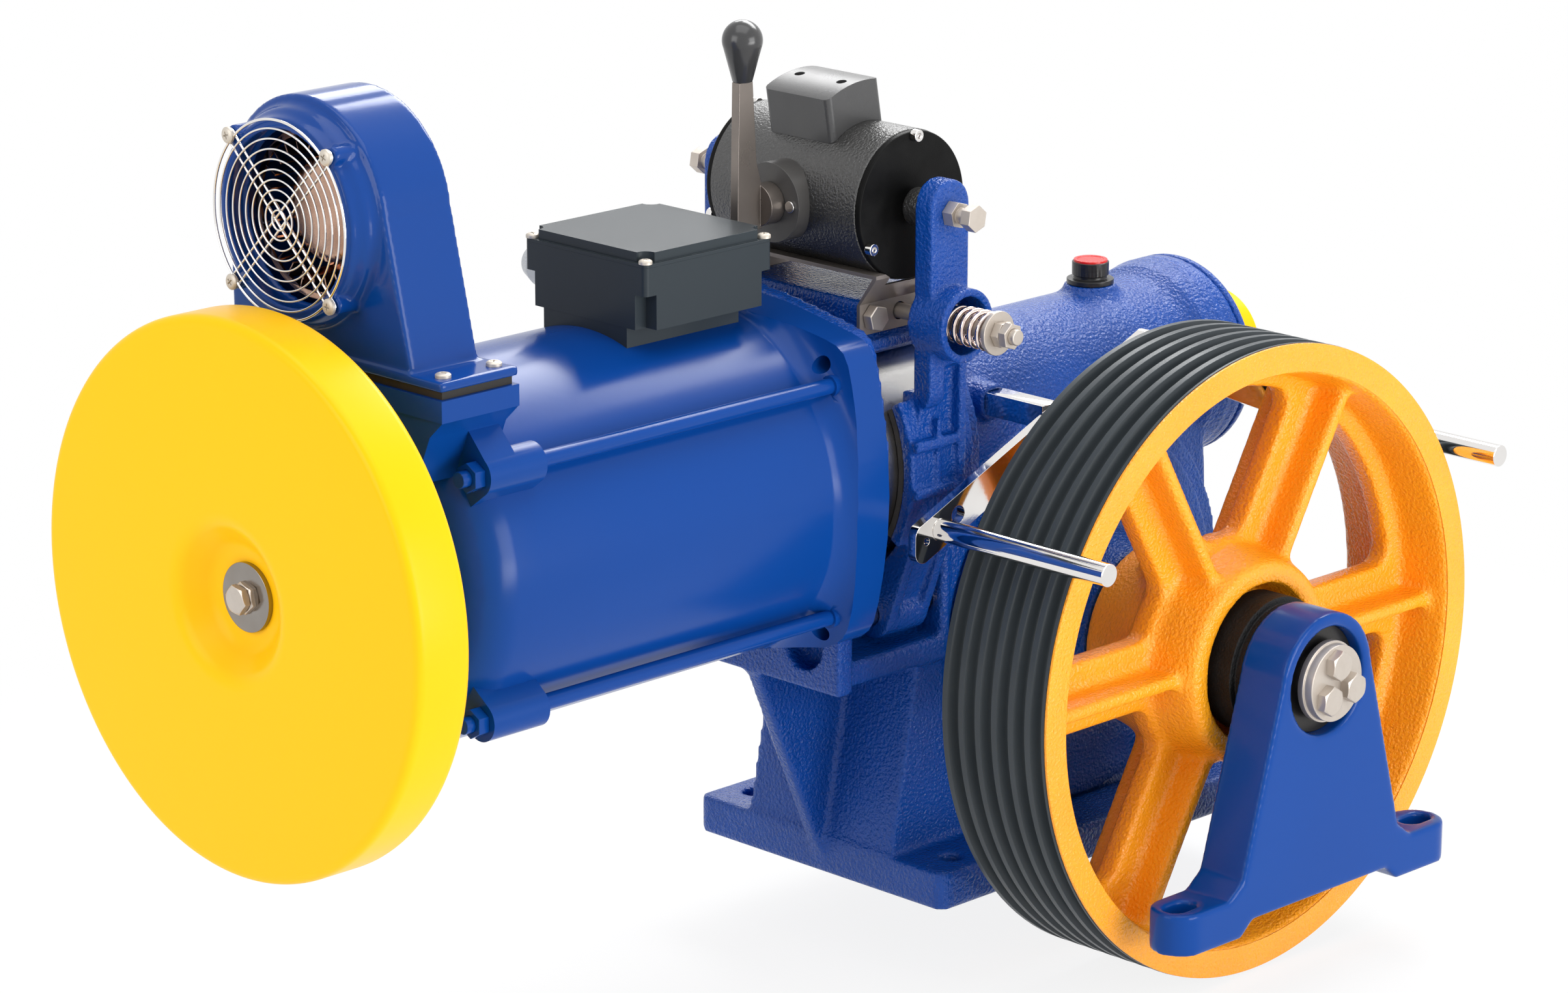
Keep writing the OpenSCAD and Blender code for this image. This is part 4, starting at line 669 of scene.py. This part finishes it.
# --- Worm wheel and output shaft ----------------------------------------------
# A bronze rim of teeth on the wheel centre, and the ground shaft that carries it
# and the sheave.
bronze = surfaced(
    "worm_wheel_bronze", (0.60, 0.37, 0.13), roughness=0.3, metallic=1.0,
    grain=0.002, depth=0.00004, other=(0.45, 0.26, 0.08), share=0.5)
dressed("worm_wheel", "sheave", bronze, edge=0.0003, segments=1, sharp=50)
dressed("output_shaft", "sheave", turned_steel, edge=0.001)


# --- Brake arms, linings and pins ---------------------------------------------
# Cast levers hinged at their feet on steel pins. Each presses a bonded lining on
# the drum under its spring, and the magnet's plunger spreads them.
for side in ("near", "far"):
    casting("brake_arm_" + side, "arm_" + side, cast_blue, cell=0.0016,
            passes=4, keep=0.5)
bonded = surfaced(
    "bonded_lining", (0.055, 0.05, 0.045), roughness=0.8,
    grain=0.0012, depth=0.0002, other=(0.09, 0.08, 0.07), share=0.7, patch=0.01)
for side in ("near", "far"):
    dressed("lining_" + side, "arm_" + side, bonded, edge=0.0005)
dressed("arm_pins", "machine", turned_steel, edge=0.001)


# --- Brake springs, rod and nuts ----------------------------------------------
# Each arm is pressed home by a coil of round spring wire between its cup and a
# washer with two nuts on one threaded rod.
spring_steel = surfaced(
    "spring_wire", (0.84, 0.72, 0.66), roughness=0.13, metallic=1.0,
    grain=0.002, depth=0.00002, other=(0.66, 0.54, 0.48), share=0.5, wear=0.03)


def spring_coil(low, high, wire, turns, play):
    """A coil along Y inside a box: the wire's centre goes round the axis while it advances
    evenly, and a circle of the wire's radius is carried square to the radius. Its outer end
    stops short of its washer by the play."""
    x, _, z = middle_of(low, high)
    radius = (high[2] - low[2]) / 2 - wire
    points_per_turn, sides = 40, 14
    a = np.linspace(0, 2 * np.pi * turns, int(turns * points_per_turn))
    outer, inner = (low[1], high[1]) if low[1] + high[1] < 0 else (high[1], low[1])
    inward = math.copysign(1.0, inner - outer)
    y = np.linspace(outer + (wire + play) * inward, inner - wire * inward, a.size)
    b = np.linspace(0, 2 * np.pi, sides, endpoint=False)[None, :]
    r = radius + wire * np.cos(b)
    return closed_skin(np.stack([x + r * np.cos(a)[:, None], y[:, None] + wire * np.sin(b) + 0 * r,
                                 z + r * np.sin(a)[:, None]], -1))


for side in ("near", "far"):
    low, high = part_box("spring_" + side)
    coil = skinned("spring_wire_" + side,
                   [spring_coil(low, high, wire=0.0022, turns=6.5, play=0.0003)],
                   60, "arm_" + side, spring_steel, "spring_" + side)
    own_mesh(coil)
dressed("spring_rod", "machine", zinc, edge=0.0008)
dressed("spring_nuts", "machine", zinc, edge=0.0008, segments=3)


# --- Brake magnet -------------------------------------------------------------
# The magnet's cast drum with its two end plates, in black crackle enamel, and the
# plungers that push the arms apart. Six socket screws hold the plates.
crackle = surfaced(
    "black_crackle_enamel", (0.024, 0.0235, 0.0228), roughness=0.33, level=0.9,
    grain=0.0021, depth=0.0010, other=(0.03, 0.029, 0.028), share=0.5, patch=0.03)
plate_black = surfaced(
    "end_plate_black", (0.004, 0.004, 0.004), roughness=0.45, level=0.08,
    grain=0.0012, depth=0.00008, other=(0.015, 0.015, 0.015), share=0.5, patch=0.03)
dressed("magnet_body", "machine", crackle, edge=0.0012)
dressed("magnet_end_plates", "machine", plate_black, edge=0.0012, segments=3)
for side in ("near", "far"):
    dressed("plunger_" + side, "plunger_" + side, crackle, edge=0.001)
dressed("magnet_screws", "machine", chrome, edge=0.0006, segments=2)


# --- Magnet cover -------------------------------------------------------------
# A moulded grey cap over the magnet's terminals, crowned on top, left plain.
cover_grey = surfaced(
    "cover_grey_moulding", (0.066, 0.066, 0.067), roughness=0.28, level=0.5,
    grain=0.0012, depth=0.00004, other=(0.05, 0.05, 0.051), share=0.5, patch=0.05, wear=0.03)
dressed("magnet_cover", "machine", cover_grey, edge=0.0022, segments=4)


# --- Hand release -------------------------------------------------------------
# A forged lever, dark nickel plated, on a boss screwed to the magnet. A moulded
# ball knob is screwed on its end.
dark_nickel = surfaced(
    "dark_nickel", (0.25, 0.218, 0.195), roughness=0.3, metallic=0.8,
    grain=0.0012, depth=0.00002, other=(0.15, 0.132, 0.12), share=0.5, patch=0.03, wear=0.04)
boss_grey = surfaced(
    "boss_grey", (0.11, 0.105, 0.1), roughness=0.34, metallic=0.3, level=0.5,
    grain=0.002, depth=0.00004, other=(0.038, 0.038, 0.04), share=0.5)
knob_black = surfaced(
    "knob_moulding", (0.042, 0.042, 0.043), roughness=0.2, level=0.5,
    grain=0.002, depth=0.00001, other=(0.034, 0.034, 0.035), share=0.5, wear=0.03)
dressed("release_boss", "machine", boss_grey, edge=0.0016, segments=3)
dressed("release_lever", "lever", dark_nickel, edge=0.0014, segments=3)
knob_low, knob_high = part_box("release_knob")
knob_x, knob_y, _ = middle_of(knob_low, knob_high)
ball = (knob_high[1] - knob_low[1]) / 2
rise = knob_high[2] - knob_low[2] - ball
swing = np.radians(np.linspace(-20, 89.2, 44))
neck = [(0, 0.0068), (0.0004, 0.0075)]
knob_profile = np.concatenate([neck, np.stack([rise + ball * np.sin(swing),
                                               ball * np.cos(swing)], -1)])
skinned("release_knob_ball", [turned((knob_x, knob_y, knob_low[2]), (0, 0, 1), knob_profile)],
        60, "lever", knob_black, "release_knob")


# --- Magnet bracket and its bolts ---------------------------------------------
# A bent and plated plate that cradles the magnet, bolted to both sides of the
# housing's bridge.
plated_brown = surfaced(
    "bracket_plating", (0.30, 0.265, 0.24), roughness=0.45, metallic=0.7,
    grain=0.0015, depth=0.00004, other=(0.22, 0.19, 0.17), share=0.6, patch=0.03)
dressed("magnet_bracket", "machine", plated_brown, edge=0.0007)
dressed("bracket_bolts", "machine", zinc, edge=0.0009, segments=3)
for side in ("near", "far"):
    dressed("adjuster_" + side, "arm_" + side, zinc, edge=0.0009, segments=3)


# --- Sheave wheel -------------------------------------------------------------
# The six-spoked wheel centre, a sand casting in orange enamel with generous
# fillets where ribs, hub and rim meet. Only the face beside the rope rim is turned.
sheave_orange = surfaced(
    "sheave_orange", (1.0, 0.39, 0.012), roughness=0.2, level=0.45,
    grain=0.0027, depth=0.0018, other=(1.0, 0.31, 0.008), share=0.5, patch=0.08)
casting("sheave_wheel", "sheave", sheave_orange, cell=0.0027, passes=20, keep=0.7)
grooved_low, grooved_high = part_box("sheave_rim")
sheave_z = middle_of(grooved_low, grooved_high)[2]
sheave_r = (grooved_high[2] - grooved_low[2]) / 2
lip_front, lip_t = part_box("sheave_wheel")[0][1] - 0.0002, 0.0026
lip_out, lip_in = sheave_r - 0.0003, sheave_r - 0.0225
lip_profile = [(0.0021, lip_in + 0.001), (0, lip_in), (0, lip_out), (lip_t, lip_out),
               (lip_t, sheave_r - 0.0145)]
skinned("sheave_lip",
        [turned((0, lip_front, sheave_z), (0, 1, 0), eased(lip_profile, 0.0009), 256, bored=True)],
        40, "sheave", sheave_orange, "sheave_wheel")


# --- Sheave rim ---------------------------------------------------------------
# The rope rim of harder iron, its six grooves turned bright and then oiled dark.
rim_grey = surfaced(
    "rim_grey", (0.046, 0.055, 0.062), roughness=0.34, level=0.16,
    grain=0.0012, depth=0.00003, other=(0.062, 0.072, 0.08), share=0.5, patch=0.06, wear=0.04,
    stretch=(1, 4, 1))
dressed("sheave_rim", "sheave", rim_grey, edge=0.0004)


# --- Hub spacer, end plate and its bolts --------------------------------------
# A black collar between the sheave and the outboard bearing, and a plated disc
# with three hexagon bolts that holds the shaft's end.
collar_black = surfaced(
    "collar_black", (0.004, 0.004, 0.0045), roughness=0.5, level=0.2,
    grain=0.0018, depth=0.0007, other=(0.022, 0.022, 0.022), share=0.5)
dressed("hub_spacer", "sheave", collar_black, edge=0.001)
plate_low, plate_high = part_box("end_plate_bolts")
plate_z = middle_of(plate_low, plate_high)[2]
plate_deep = plate_high[1] - plate_low[1]
disc_t, disc_r, step_r, bolt_circle = plate_deep - 0.008, 0.032, 0.030, 0.016
disc_profile = [(0, disc_r - 0.0005), (0, disc_r), (0.005, disc_r), (0.005, step_r + 0.0002),
                (disc_t, step_r), (disc_t, 0.004)]
end_plate = [turned((0, plate_high[1], plate_z), (0, -1, 0), eased(disc_profile, 0.0007))]
end_plate += [hexagon((bolt_circle * math.cos(a), plate_high[1],
                       plate_z + bolt_circle * math.sin(a)), (0, -1, 0), flats=0.0208,
                      low=disc_t - 0.0005, high=plate_deep, turn=0.3 + a)
              for a in np.radians([100, 220, 340])]
skinned("end_plate_set", end_plate, 28, "sheave", zinc, "end_plate_bolts")


# --- Outboard bracket ---------------------------------------------------------
# The cast pedestal that carries the shaft's outer bearing, with slotted feet,
# under the same glossy blue as the motor.
casting("outboard_bracket", "machine", smooth_blue, cell=0.0021, passes=6, keep=0.5)


# --- Rope guard ---------------------------------------------------------------
# A polished plate on the housing with two bright rods that keep the ropes in
# their grooves.
dressed("rope_guard_plate", "machine", chrome, edge=0.0012, segments=3)
dressed("rope_guard_rods", "machine", chrome, edge=0.0012, segments=3)
